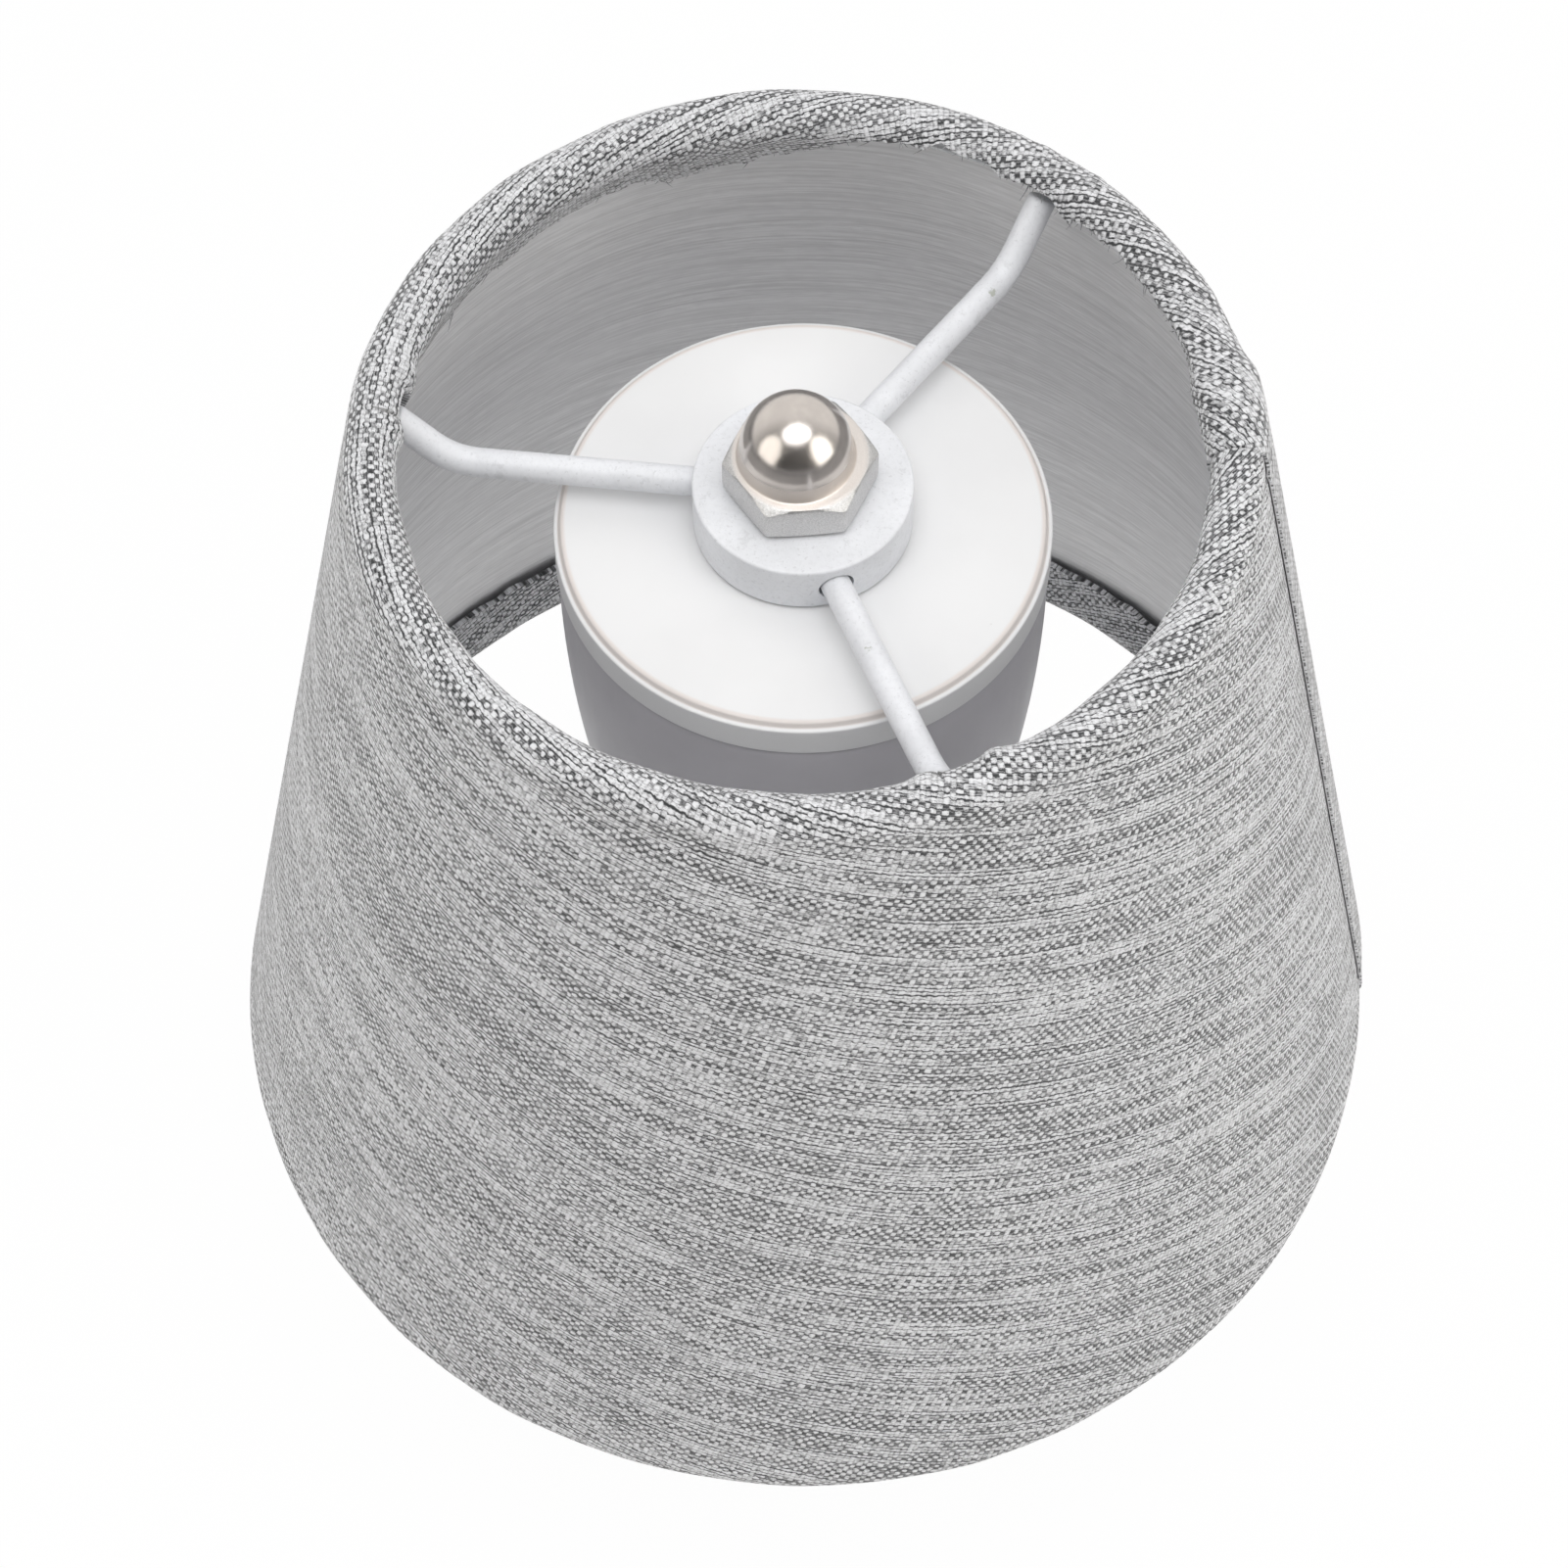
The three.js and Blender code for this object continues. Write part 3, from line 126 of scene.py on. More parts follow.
def amount(name, description, default, unit="NONE"):
    return bpy.props.FloatProperty(name=name, description=description, default=default, unit=unit)


def colour(name, description, default):
    return bpy.props.FloatVectorProperty(
        name=name, description=description, default=default, subtype="COLOR", size=3, min=0, max=1
    )


class LampShadeSettings(bpy.types.PropertyGroup):
    top_radius: length("Top radius", "Outside of the upper roll", 45 * MM)
    bottom_radius: length("Bottom radius", "Outside of the lower roll", 65 * MM)
    top_height: length("Top height", "Top of the upper roll", 114 * MM)
    bottom_height: length("Bottom height", "Underside of the lower roll", 6 * MM)
    top_wire: length("Top wire", "Radius of the upper ring's wire", 1.6 * MM)
    bottom_wire: length("Bottom wire", "Radius of the lower ring's wire", 1.4 * MM)
    seat_gap: length("Seat gap", "Room between cloth, liner and wire", 0.3 * MM)
    cloth: length("Cloth", "Thickness of the cloth", 0.7 * MM)
    liner: length("Liner", "Thickness of the liner", 0.4 * MM)
    top_lean: angle("Upper lean", "Lean of the cloth turned in at the top", 20)
    bottom_lean: angle("Lower lean", "Lean of the cloth turned in at the bottom", 11)
    bottom_turn_in: length("Lower turn-in", "Length of cloth that stands inside the lower ring", 5.2 * MM)
    lap_start: angle("Lap start", "Azimuth of the seam's cut edge", -2.8)
    lap_sweep: angle("Lap sweep", "Angle that the seam's lap covers", 12)
    lap_lift: length("Lap lift", "How far the lap stands out of the wall", 0.85 * MM)
    warp_pitch: length("Warp pitch", "Distance between neighbouring warp yarns", 0.59 * MM)
    weft_pitch: length("Weft pitch", "Distance between neighbouring weft yarns", 0.53 * MM)
    light_yarn: colour("Light yarn", "Colour of the pale yarn", (0.785, 0.792, 0.82))
    dark_yarn: colour("Dark yarn", "Colour of the dark yarn", (0.05, 0.052, 0.055))
    liner_colour: colour("Liner colour", "Colour of the liner", (0.88, 0.885, 0.90))


class LampHeadSettings(bpy.types.PropertyGroup):
    hub_radius: length("Hub radius", "Outside of the spider's hub", HUB_HIGH.x)
    hub_bottom: length("Hub bottom", "Underside of the hub", HUB_LOW.z)
    hub_top: length("Hub top", "Top of the hub", HUB_HIGH.z)
    stud_hole: length("Stud hole", "Radius of the hole for the centre stud", 4.3 * MM)
    arm_radius: length("Arm radius", "Radius of a spider arm", 1.5 * MM)
    arm_seat: length("Arm seat", "How deep an arm goes into the hub", 5.2 * MM)
    arm_slope: angle("Arm slope", "Slope of the arms' outer ends", 49)
    arm_bend: length("Arm bend", "Length of an arm's bend on each side of its corner", 3 * MM)
    nut_flats: length("Nut size", "Width of the nut across its flats", 13.6 * MM)
    nut_bore: length("Nut bore", "Radius of the nut's bore", 4.5 * MM)
    nut_edge: length("Nut edge", "Softness of the hexagon's edges", 0.17 * MM)
    nut_hex: length("Nut hexagon", "Height of the nut's hexagon", 4.4 * MM)
    nut_corner: angle("Nut corner", "Azimuth of one corner of the hexagon", 4)
    nut_face: length("Nut face", "Radius of the flat face inside the chamfer", 6.6 * MM)
    nut_collar: length("Nut collar", "Radius of the collar under the dome", 5.95 * MM)
    nut_collar_height: length("Collar height", "Height of the collar", 1.5 * MM)
    nut_dome: length("Nut dome", "Radius of the dome", 5.5 * MM)
    nut_play: length("Nut play", "How far the nut sits to one side on its stud", 0.25 * MM)
    dome_offset: length("Dome offset", "How far collar and dome are out of the hexagon's middle", 0.4 * MM)
    enamel: colour("Enamel", "Colour of the spider's enamel", (0.80, 0.815, 0.85))
    cap_white: colour("Cap white", "Colour of the cap and the housing", (0.835, 0.84, 0.85))
    nickel: colour("Nickel", "Colour of the nut's plating", (0.70, 0.65, 0.61))


class LampBodySettings(bpy.types.PropertyGroup):
    diffuser_top: length("Diffuser top", "Radius of the diffuser's upper end", 24.8 * MM)
    diffuser_foot: length("Diffuser foot", "Radius of the diffuser's foot", 17.2 * MM)
    diffuser_wall: length("Diffuser wall", "Thickness of the diffuser", 1.9 * MM)
    smoke: colour("Diffuser colour", "Colour of the smoked diffuser", (0.56, 0.55, 0.585))
    rubber: colour("Rubber", "Colour of the stopper", (0.045, 0.045, 0.048))


class LampStageSettings(bpy.types.PropertyGroup):
    distance: length("Camera distance", "From the camera to its target", 0.486)
    elevation: angle("Camera elevation", "Height of the camera above the horizon", 58.36)
    roll: angle("Camera roll", "Turn of the camera about its own axis", -0.614)
    lens: bpy.props.FloatProperty(
        name="Lens", description="Focal length for a 36 mm sensor", default=101.75, subtype="DISTANCE_CAMERA"
    )
    target_side: length("Target side", "How far the camera's target is to the side", -2.187 * MM)
    target_height: length("Target height", "Height of the camera's target", 49.47 * MM)
    key_power: amount("Key power", "Overhead soft light", 6.8, "POWER")
    side_power: amount("Side power", "Left soft light", 3.3, "POWER")
    right_share: amount("Right share", "Right soft light over the left one", 1.4)
    front_level: amount("Front level", "Brightness of the room on the camera's side", 0.09)
    back_level: amount("Back level", "Brightness of the room behind the lamp", 0.92)


# Shapes as whole arrays


def new_piece(name, points, faces, uv=None, sharp=35):
    """A mesh object from an array of points, in metres, and one or more arrays of faces.

    uv is one pair for each point. Points that lie on each other are merged, so seams and poles close.
    """
    mesh = bpy.data.meshes.new(name)
    faces = faces if isinstance(faces, list) else [faces]
    mesh.from_pydata(points.reshape(-1, 3).tolist(), [], [face for group in faces for face in group.tolist()])
    if uv is not None:
        corners = np.empty(len(mesh.loops), dtype=np.int32)
        mesh.loops.foreach_get("vertex_index", corners)
        layer = mesh.uv_layers.new(name="flat_cloth")
        layer.data.foreach_set("uv", uv.reshape(-1, 2)[corners].astype(np.float32).ravel())
    else:
        work = bmesh.new()
        work.from_mesh(mesh)
        bmesh.ops.remove_doubles(work, verts=work.verts, dist=2e-7)
        bmesh.ops.dissolve_degenerate(work, edges=work.edges, dist=1e-8)
        bmesh.ops.recalc_face_normals(work, faces=work.faces)
        work.to_mesh(mesh)
        work.free()
    mesh.shade_smooth()
    mesh.set_sharp_from_angle(angle=math.radians(sharp))
    piece = bpy.data.objects.new(name, mesh)
    bpy.context.scene.collection.objects.link(piece)
    return piece


def quads(rows, columns, close_rows=False, close_columns=False, first=0):
    """Faces of a grid of points. A closed direction joins its last line of points to its first."""
    row = np.arange(rows if close_rows else rows - 1)[:, None]
    column = np.arange(columns if close_columns else columns - 1)[None, :]
    next_row = (row + 1) % rows
    next_column = (column + 1) % columns
    corners = np.stack(
        [
            row * columns + column,
            row * columns + next_column,
            next_row * columns + next_column,
            next_row * columns + column,
        ],
        axis=-1,
    )
    return corners.reshape(-1, 4) + first


def rounded(profile, radius, steps=5):
    """A profile whose inner corners are rounded: each one becomes a short curve, the blend of its corner
    and of two points that lie the radius, or at most 0.45 of a side, away from it on its two sides."""
    points = np.array(profile, dtype=float)
    before = points[:-2] - points[1:-1]
    after = points[2:] - points[1:-1]
    reach_before = np.minimum(radius, 0.45 * np.linalg.norm(before, axis=1))[:, None]
    reach_after = np.minimum(radius, 0.45 * np.linalg.norm(after, axis=1))[:, None]
    start = points[1:-1] + before / np.linalg.norm(before, axis=1)[:, None] * reach_before
    end = points[1:-1] + after / np.linalg.norm(after, axis=1)[:, None] * reach_after
    share = np.linspace(0, 1, steps + 1)[None, :, None]
    corner = points[1:-1][:, None]
    curve = start[:, None] * (1 - share) ** 2 + corner * 2 * share * (1 - share) + end[:, None] * share**2
    return np.vstack([points[:1], curve.reshape(-1, 2), points[-1:]])


def round_axis(radius, azimuth, height):
    """Points from their radius, azimuth and height."""
    height = np.broadcast_to(height, np.broadcast(radius, azimuth).shape)
    return np.stack([radius * np.cos(azimuth), radius * np.sin(azimuth), height], axis=-1)


def turned(name, profile, sides=160, sharp=35):
    """A solid of revolution: every point of the profile, a radius and a height, is carried round the
    axis. The profile starts and ends on the axis, or is closed on itself."""
    points = np.array(profile, dtype=float)
    closed = points[0, 0] > 1e-7
    azimuth = np.linspace(0, TURN, sides, endpoint=False)
    grid = round_axis(points[:, :1], azimuth, points[:, 1:])
    faces = quads(len(points), sides, close_rows=closed, close_columns=True)
    return new_piece(name, grid, faces, sharp=sharp)


def unit(vectors):
    """Vectors made one long."""
    return vectors / np.linalg.norm(vectors, axis=-1, keepdims=True)


def tube_points(path, radius, side, sides):
    """Points of a tube: circles across a path, or across many paths at once. The circle at each point
    lies in the plane of the side vector, made square to the path there, and of its cross product with
    the path's direction."""
    direction = unit(np.gradient(path, axis=-2))
    side = unit(side - direction * (direction * side).sum(axis=-1, keepdims=True))
    other = np.cross(direction, side)
    turn = np.linspace(0, TURN, sides, endpoint=False)[:, None]
    ring = side[..., None, :] * np.cos(turn) + other[..., None, :] * np.sin(turn)
    return path[..., None, :] + ring * np.asarray(radius)[..., None, None]


def smoothstep(low, high, value):
    share = np.clip((value - low) / (high - low), 0, 1)
    return share * share * (3 - 2 * share)


def bump_shape(value, middle, width):
    """A bell of height one."""
    return np.exp(-(((value - middle) / width) ** 2))


def ripples(azimuth, along, seed, count, most_waves, reach):
    """Smooth seeded unevenness of spread about one: a sum of sine waves, each with a whole number of
    waves round the axis, its own slope along the cloth and its own phase."""
    rng = np.random.default_rng(seed)
    waves = rng.integers(2, most_waves, count)
    slopes = rng.normal(0, 1 / reach, count)
    phases = rng.uniform(0, TURN, count)
    total = np.zeros(np.broadcast(azimuth, along).shape)
    for wave, slope, phase in zip(waves, slopes, phases):
        total = total + np.sin(wave * azimuth + slope * along + phase)
    return total * math.sqrt(2 / count)


class ShadeLine:
    """The shade's wall in the plane of radius and height: the outer tangent of its two rolls."""

    def __init__(self, shade):
        self.top_roll = shade.top_wire + shade.seat_gap + shade.cloth
        self.bottom_roll = shade.bottom_wire + shade.seat_gap + shade.cloth
        self.top = np.array([shade.top_radius - self.top_roll, shade.top_height - self.top_roll])
        self.bottom = np.array(
            [shade.bottom_radius - self.bottom_roll, shade.bottom_height + self.bottom_roll]
        )
        run = self.top - self.bottom
        up = run / np.hypot(*run)
        tilt = (self.bottom_roll - self.top_roll) / np.hypot(*run)
        self.normal = np.array([up[1], -up[0]]) * math.sqrt(1 - tilt * tilt) + up * tilt
        self.angle = math.atan2(self.normal[1], self.normal[0])
        self.start = self.top + self.normal * self.top_roll
        self.end = self.bottom + self.normal * self.bottom_roll
        self.wall = float(np.hypot(*(self.end - self.start)))
        self.top_leave = math.pi + shade.top_lean
        self.bottom_leave = -math.pi - shade.bottom_lean
        self.cone = float(self.start[0]) / math.sin(self.angle)

    def over_roll(self, centre, roll, turn, leave, out, way):
        """The radius and height of points that go round a roll's centre by an angle, and straight on
        along the tangent past the angle where the cloth leaves it. way is 1 where the angle grows with
        the distance from the wall, and -1 where it falls."""
        straight = np.clip(way * (turn - leave), 0, None) * roll
        turn = np.minimum(turn, leave) if way > 0 else np.maximum(turn, leave)
        radius = centre[0] + (roll + out) * np.cos(turn) - way * np.sin(turn) * straight
        height = centre[1] + (roll + out) * np.sin(turn) + way * np.cos(turn) * straight
        return radius, height

    def place(self, azimuth, along, out):
        """Points of the cloth. along runs down the wall from the upper roll, below zero over that roll
        and past the wall's length round the lower one; out is the distance outwards from the wall's face.
        """
        past_top = np.clip(-along, 0, None) / self.top_roll
        past_low = np.clip(along - self.wall, 0, None) / self.bottom_roll
        top = self.over_roll(self.top, self.top_roll, self.angle + past_top, self.top_leave, out, 1)
        low = self.over_roll(self.bottom, self.bottom_roll, self.angle - past_low, self.bottom_leave, out, -1)
        share = np.clip(along / self.wall, 0, 1)
        wall = [self.start[i] + (self.end[i] - self.start[i]) * share + self.normal[i] * out for i in (0, 1)]
        radius, height = [
            np.where(along < 0, top[i], np.where(along > self.wall, low[i], wall[i])) for i in (0, 1)
        ]
        return round_axis(radius, azimuth, height)

    def flat(self, azimuth, along, middle):
        """The place in the cut pattern: the cone unrolled about its apex, with the rolls' length added."""
        reach = self.cone + along
        fan = math.sin(self.angle) * (azimuth - middle)
        return np.stack([reach * np.sin(fan), reach * np.cos(fan)], axis=-1)


def arc_distance(azimuth, degrees):
    """Angle in degrees from an azimuth, from -180 to 180."""
    return (np.degrees(azimuth) - degrees + 180) % 360 - 180


def turned_in(line, azimuth):
    """Where the cloth ends past the upper roll, as a negative distance along it.

    It is the quarter turn up to the roll's top and the length turned in there, uneven as it was cut
    by hand, and shorter beside each arm, where the cloth is notched for it.
    """
    table = np.array(TURN_IN, dtype=float)
    past = np.interp((np.degrees(azimuth) + 180) % 360 - 180, table[:, 0], table[:, 1]) * MM
    wavy = ripples(azimuth, 0, 21, 14, 90, 1) * 0.22 * MM
    jagged = ripples(azimuth, 0, 22, 10, 260, 1) * 0.10 * MM
    past = past + wavy + jagged
    for _, _, at_ring in ARMS:
        beside = 1 - smoothstep(2.6, 3.8, np.abs(arc_distance(azimuth, at_ring)))
        past = past + (np.minimum(past, 3.2 * MM) - past) * beside
    return -((math.pi / 2 - line.angle) * line.top_roll + past)


def cloth_thickness(shade, azimuth):
    """The cloth's thickness, less towards the seam's cut edge."""
    return shade.cloth * (0.45 + 0.55 * smoothstep(0, 7, np.degrees(azimuth - shade.lap_start)))


def cloth_out(shade, line, azimuth, along):
    """How far the cloth stands out of its plain line.

    It adds the lap's lift, which eases down behind the seam and is less on the rolls, a soft swell and
    gathers of the cloth on the upper roll, bunches beside the arms' ends, a pinched fold on the inside
    by the seam, and a shallow groove where the roll passes into the wall.
    """
    past_lap = np.degrees(azimuth - shade.lap_start - shade.lap_sweep)
    above_low_roll = 1 - smoothstep(line.wall - 1.6 * MM, line.wall - 0.8 * MM, along)
    on_wall = smoothstep(-1.5 * MM, 1.0 * MM, along) * above_low_roll
    lift = shade.lap_lift * (0.84 + 0.16 * on_wall) - shade.cloth + cloth_thickness(shade, azimuth)
    lift = lift * (1 - smoothstep(0, 7, past_lap))
    on_roll = 1 - smoothstep(-1.5 * MM, 1.2 * MM, along)
    low_roll = smoothstep(line.wall - 0.5 * MM, line.wall + 2 * MM, along)
    degrees = (np.degrees(azimuth) + 180) % 360 - 180
    swell = 0.10 + 0.08 * np.clip(ripples(azimuth, along, 3, 18, 26, 4 * MM), -0.8, 2)
    gathers = 0.06 * np.clip(ripples(azimuth, along, 5, 22, 90, 3 * MM), 0, 2.2)
    gathers = gathers * (0.35 + 1.3 * bump_shape(degrees, 32, 34))
    fold_line = (-6.2 - 0.03 * (degrees - 20)) * MM
    fold = 0.75 * bump_shape(along, fold_line, 0.75 * MM) * bump_shape(degrees, 20, 15)
    bunch = 0
    for _, _, at_ring in ARMS:
        away = arc_distance(azimuth, at_ring)
        bunch = bunch + 0.55 * (bump_shape(away, 5, 2.0) + bump_shape(away, -5, 2.2))
    inside = 1 - smoothstep(-6 * MM, -3 * MM, along)
    roll = on_roll * (swell + gathers) + on_roll * fold + inside * bunch
    low = low_roll * (0.08 + 0.06 * np.clip(ripples(azimuth, along, 8, 16, 40, 4 * MM), -1, 2))
    upper_groove = 0.17 * bump_shape(along, 2.5 * MM, 0.55 * MM)
    lower_groove = 0.10 * bump_shape(along, line.wall - 2.4 * MM, 0.6 * MM)
    wall = 0.035 * ripples(azimuth, along, 11, 16, 14, 26 * MM) * smoothstep(2 * MM, 8 * MM, along)
    return lift + (roll + low - upper_groove - lower_groove + wall) * MM


def shade_cloth(shade):
    """The shade's cloth as one wound sheet: a closed shell of two faces a thickness apart. It starts at
    the seam's cut edge, goes once round and ends below its own beginning. The grid runs round the axis
    and along the cloth from the edge turned in at the top to the one turned in at the bottom."""
    line = ShadeLine(shade)
    columns = 641
    start = shade.lap_start
    azimuth = np.linspace(start, start + TURN + shade.lap_sweep, columns)[None, :]
    first = turned_in(line, azimuth)
    last = line.wall + (line.angle - line.bottom_leave) * line.bottom_roll + shade.bottom_turn_in
    last = last + ripples(azimuth, 0, 31, 12, 110, 1) * 0.12 * MM
    upper_part, lower_part = 7 * MM, line.wall - 5 * MM
    over_roll = np.linspace(0, 1, 25)[:-1, None]
    near_top = np.linspace(0, upper_part, 15)[:-1, None]
    down_wall = np.linspace(upper_part, lower_part, 9)[:-1, None]
    round_low = np.linspace(0, 1, 23)[:, None]
    along = np.vstack(
        [
            first * (1 - over_roll),
            np.broadcast_to(near_top, (len(near_top), columns)),
            np.broadcast_to(down_wall, (len(down_wall), columns)),
            lower_part + (last - lower_part) * round_low,
        ]
    )
    rows = len(along)
    out = cloth_out(shade, line, azimuth, along)
    azimuths = np.broadcast_to(azimuth, along.shape)
    outer = line.place(azimuths, along, out)
    inner = line.place(azimuths, along, out - cloth_thickness(shade, azimuth))
    flat = line.flat(azimuths, along, start + math.pi)
    middle = line.place(azimuths[:, [0, -1]], along[:, [0, -1]], out[:, [0, -1]] - 0.3 * shade.cloth)
    points = np.concatenate([outer.reshape(-1, 3), inner.reshape(-1, 3), middle.reshape(-1, 3)])
    uv = np.concatenate([flat.reshape(-1, 2), flat.reshape(-1, 2), flat[:, [0, -1]].reshape(-1, 2)])
    inside = rows * columns
    top_edge = np.arange(columns - 1)
    bottom_edge = top_edge + (rows - 1) * columns
    near = np.arange(rows - 1) * columns
    far = near + columns - 1
    mid = 2 * inside + 2 * np.arange(rows - 1)
    strips = [
        (top_edge, top_edge + 1, top_edge + 1 + inside, top_edge + inside),
        (bottom_edge + 1, bottom_edge, bottom_edge + inside, bottom_edge + 1 + inside),
        (near + columns, near, mid, mid + 2),
        (far, far + columns, mid + 3, mid + 1),
        (mid + 2, mid, near + inside, near + columns + inside),
        (mid + 1, mid + 3, far + columns + inside, far + inside),
    ]
    faces = [quads(rows, columns)[:, ::-1], quads(rows, columns, first=inside)]
    groups = faces + [np.stack(strip, axis=1) for strip in strips]
    piece = new_piece("shade_cloth", points, groups, uv=uv, sharp=50)
    on_wall = (along[:-1, 0] > 1 * MM) & (along[:-1, 0] < line.wall)
    material = np.zeros(len(piece.data.polygons), dtype=np.int32)
    material[-2 * len(on_wall) :] = np.tile(on_wall, 2)
    piece.data.polygons.foreach_set("material_index", material)
    return piece


def loose_threads(shade):
    """The raw upper edge's frayed ends: short tubes of four sides that narrow to a point. Each follows
    a curve, its start plus a length along the cloth, a sideways bend that grows with the square of the
    distance, and a lift out of the cloth that grows the same way."""
    line = ShadeLine(shade)
    rng = np.random.default_rng(77)
    count = 620
    mean, shortest, longest = 0.42, 0.12, 2.2
    azimuth = shade.lap_start + rng.uniform(0, TURN, count)
    size = np.clip(rng.exponential(mean, count), shortest, longest) * MM
    stray = np.array(STRAY_THREADS)
    azimuth = np.concatenate([azimuth, np.radians(stray[:, 0])])
    size = np.concatenate([size, stray[:, 1] * MM])
    count = len(azimuth)
    share = np.linspace(-0.25, 1, 6)[None, :]
    outside = np.clip(share, 0, 1) ** 2
    bend = rng.normal(0, 0.5, count)[:, None]
    rise = rng.uniform(-0.1, 0.55, count)[:, None]
    along = turned_in(line, azimuth)[:, None] - size[:, None] * share
    angle_round = azimuth[:, None] + bend * size[:, None] * outside / line.top[0]
    out = cloth_out(shade, line, azimuth, turned_in(line, azimuth))[:, None] - 0.35 * MM
    out = out + rise * size[:, None] * outside
    path = line.place(angle_round, along, out)
    side = np.cross(np.gradient(path, axis=1), (0.31, 0.17, 0.93))
    radius = rng.uniform(0.045, 0.085, count)[:, None] * MM * (1 - 0.8 * outside)
    points = tube_points(path, radius, side, 4)
    steps = share.shape[1]
    one = quads(steps, 4, close_columns=True)
    ends = np.array([[3, 2, 1, 0], [4 * steps - 4, 4 * steps - 3, 4 * steps - 2, 4 * steps - 1]])
    faces = np.vstack([one, ends])[None] + (np.arange(count) * steps * 4)[:, None, None]
    return new_piece("frayed_threads", points, faces.reshape(-1, 4))


def shade_liner(shade):
    """The stiff liner: a closed cone shell behind the cloth, two straight walls a thickness apart."""
    line = ShadeLine(shade)
    edge = 0.7 * MM
    sides = 256
    along = np.linspace(shade.top_wire + edge, line.wall - shade.bottom_wire - edge, 24)
    outside = shade.cloth + shade.seat_gap
    azimuth = np.linspace(0, TURN, sides, endpoint=False)[None, :]
    rows = np.concatenate([along, along[::-1]])[:, None]
    depth = np.repeat([outside + shade.liner, outside], len(along))[:, None]
    wave = 0.05 * MM * ripples(azimuth, rows, 41, 12, 12, 40 * MM)
    shape = np.broadcast(azimuth, rows).shape
    grid = line.place(np.broadcast_to(azimuth, shape), np.broadcast_to(rows, shape), wave - depth)
    return new_piece("liner", grid, quads(len(rows), sides, close_rows=True, close_columns=True))


def ring_wire(name, radius, height, wire):
    """A ring of round wire: a circle carried round the axis."""
    turn = np.linspace(0, TURN, 25)
    profile = np.stack([radius + wire * np.cos(turn), height + wire * np.sin(turn)], axis=1)[:-1]
    return turned(name, profile, sides=192, sharp=60)


def arm_frame(head, line, at_hub, at_ring):
    """An arm's foot at the hub, its point on the ring, and the level direction between them."""
    foot = round_axis(head.hub_radius, math.radians(at_hub), 0)
    ring = round_axis(line.top[0], math.radians(at_ring), 0)
    return foot, ring, unit(ring - foot)


def spider_arm(head, shade, name, at_hub, at_ring):
    """A spider arm: a level run out of the hub, a bend that blends its two tangent points with their
    corner, and a straight rise to the ring's wire, with a round wire carried along it and rounded ends."""
    line = ShadeLine(shade)
    foot, ring, level = arm_frame(head, line, at_hub, at_ring)
    up = np.array([0, 0, 1.0])
    height = (head.hub_bottom + head.hub_top) / 2
    slope = level * math.cos(head.arm_slope) + up * math.sin(head.arm_slope)
    start = foot - level * head.arm_seat + up * height
    centre = ring + up * line.top[1]
    corner = centre - slope * (line.top[1] - height) / math.sin(head.arm_slope)
    end = centre - slope * (shade.top_wire + shade.seat_gap)
    bend_in = corner - level * head.arm_bend
    bend_out = corner + slope * head.arm_bend
    share = np.linspace(0, 1, 17)[:, None]
    bend = bend_in * (1 - share) ** 2 + corner * 2 * share * (1 - share) + bend_out * share**2
    run = start + (bend_in - start) * np.linspace(0, 1, 25)[:-1, None]
    rise = bend_out + (end - bend_out) * np.linspace(0, 1, 11)[1:, None]
    path = np.vstack([run, bend, rise])
    uneven = 0.006 * np.sin(np.arange(len(path)) * 1.7)
    radius = head.arm_radius * (1 + uneven)
    end_radii = np.array([0.0, 0.35, 0.7, 0.93])
    end_depths = 0.35 * MM * np.array([0, 0.05, 0.3, 0.65])[:, None]
    path = np.vstack([start + level * end_depths, path[1:-1], end - slope * end_depths[::-1]])
    radius = np.concatenate([end_radii * radius[0], radius[1:-1], end_radii[::-1] * radius[-1]])
    sides = 28
    grid = tube_points(path, radius, np.cross(level, up), sides)
    return new_piece(f"arm_{name}", grid, quads(len(path), sides, close_columns=True), sharp=60)


def cut(piece, cutters):
    """Takes the cutters' space out of a piece for good, and removes them."""
    for cutter in cutters:
        change = piece.modifiers.new("Cut", "BOOLEAN")
        change.operation = "DIFFERENCE"
        change.solver = "EXACT"
        change.object = cutter
    done = bpy.data.meshes.new_from_object(piece.evaluated_get(bpy.context.evaluated_depsgraph_get()))
    piece.modifiers.clear()
    piece.data = done
    done.shade_smooth()
    done.set_sharp_from_angle(angle=math.radians(32))
    for cutter in cutters:
        bpy.data.objects.remove(cutter)
    return piece


def drill(radius, start, end, azimuth, height, middle=(0.0, 0.0)):
    """A level cylinder that points along an azimuth, for cutting a round hole."""
    profile = [(0, start), (radius, start), (radius, end), (0, end)]
    cutter = turned("drill", profile, sides=48)
    along_x = Matrix.Rotation(math.pi / 2, 4, "Y")
    turn = Matrix.Rotation(azimuth, 4, "Z")
    cutter.data.transform(Matrix.Translation((middle[0], middle[1], height)) @ turn @ along_x)
    return cutter


def hub(head, shade):
    """The spider's hub: a ring with rounded edges, and a drilled hole for each arm, a little wide of it."""
    line = ShadeLine(shade)
    bore = head.stud_hole
    half = (head.hub_bottom + head.hub_top) / 2
    soft_edge = 0.35 * MM
    hole = head.arm_radius + 0.3 * MM
    inwards, outwards = -5.5 * MM, 8 * MM
    profile = [
        (bore, half), (bore, head.hub_bottom), (head.hub_radius, head.hub_bottom),
        (head.hub_radius, head.hub_top), (bore, head.hub_top), (bore, half),
    ]
    piece = turned("hub", rounded(profile, soft_edge)[:-1], sides=192)
    cutters = []
    for _, at_hub, at_ring in ARMS:
        foot, _, level = arm_frame(head, line, at_hub, at_ring)
        cutters.append(drill(hole, inwards, outwards, math.atan2(level[1], level[0]), half, foot[:2]))
    return cut(piece, cutters)


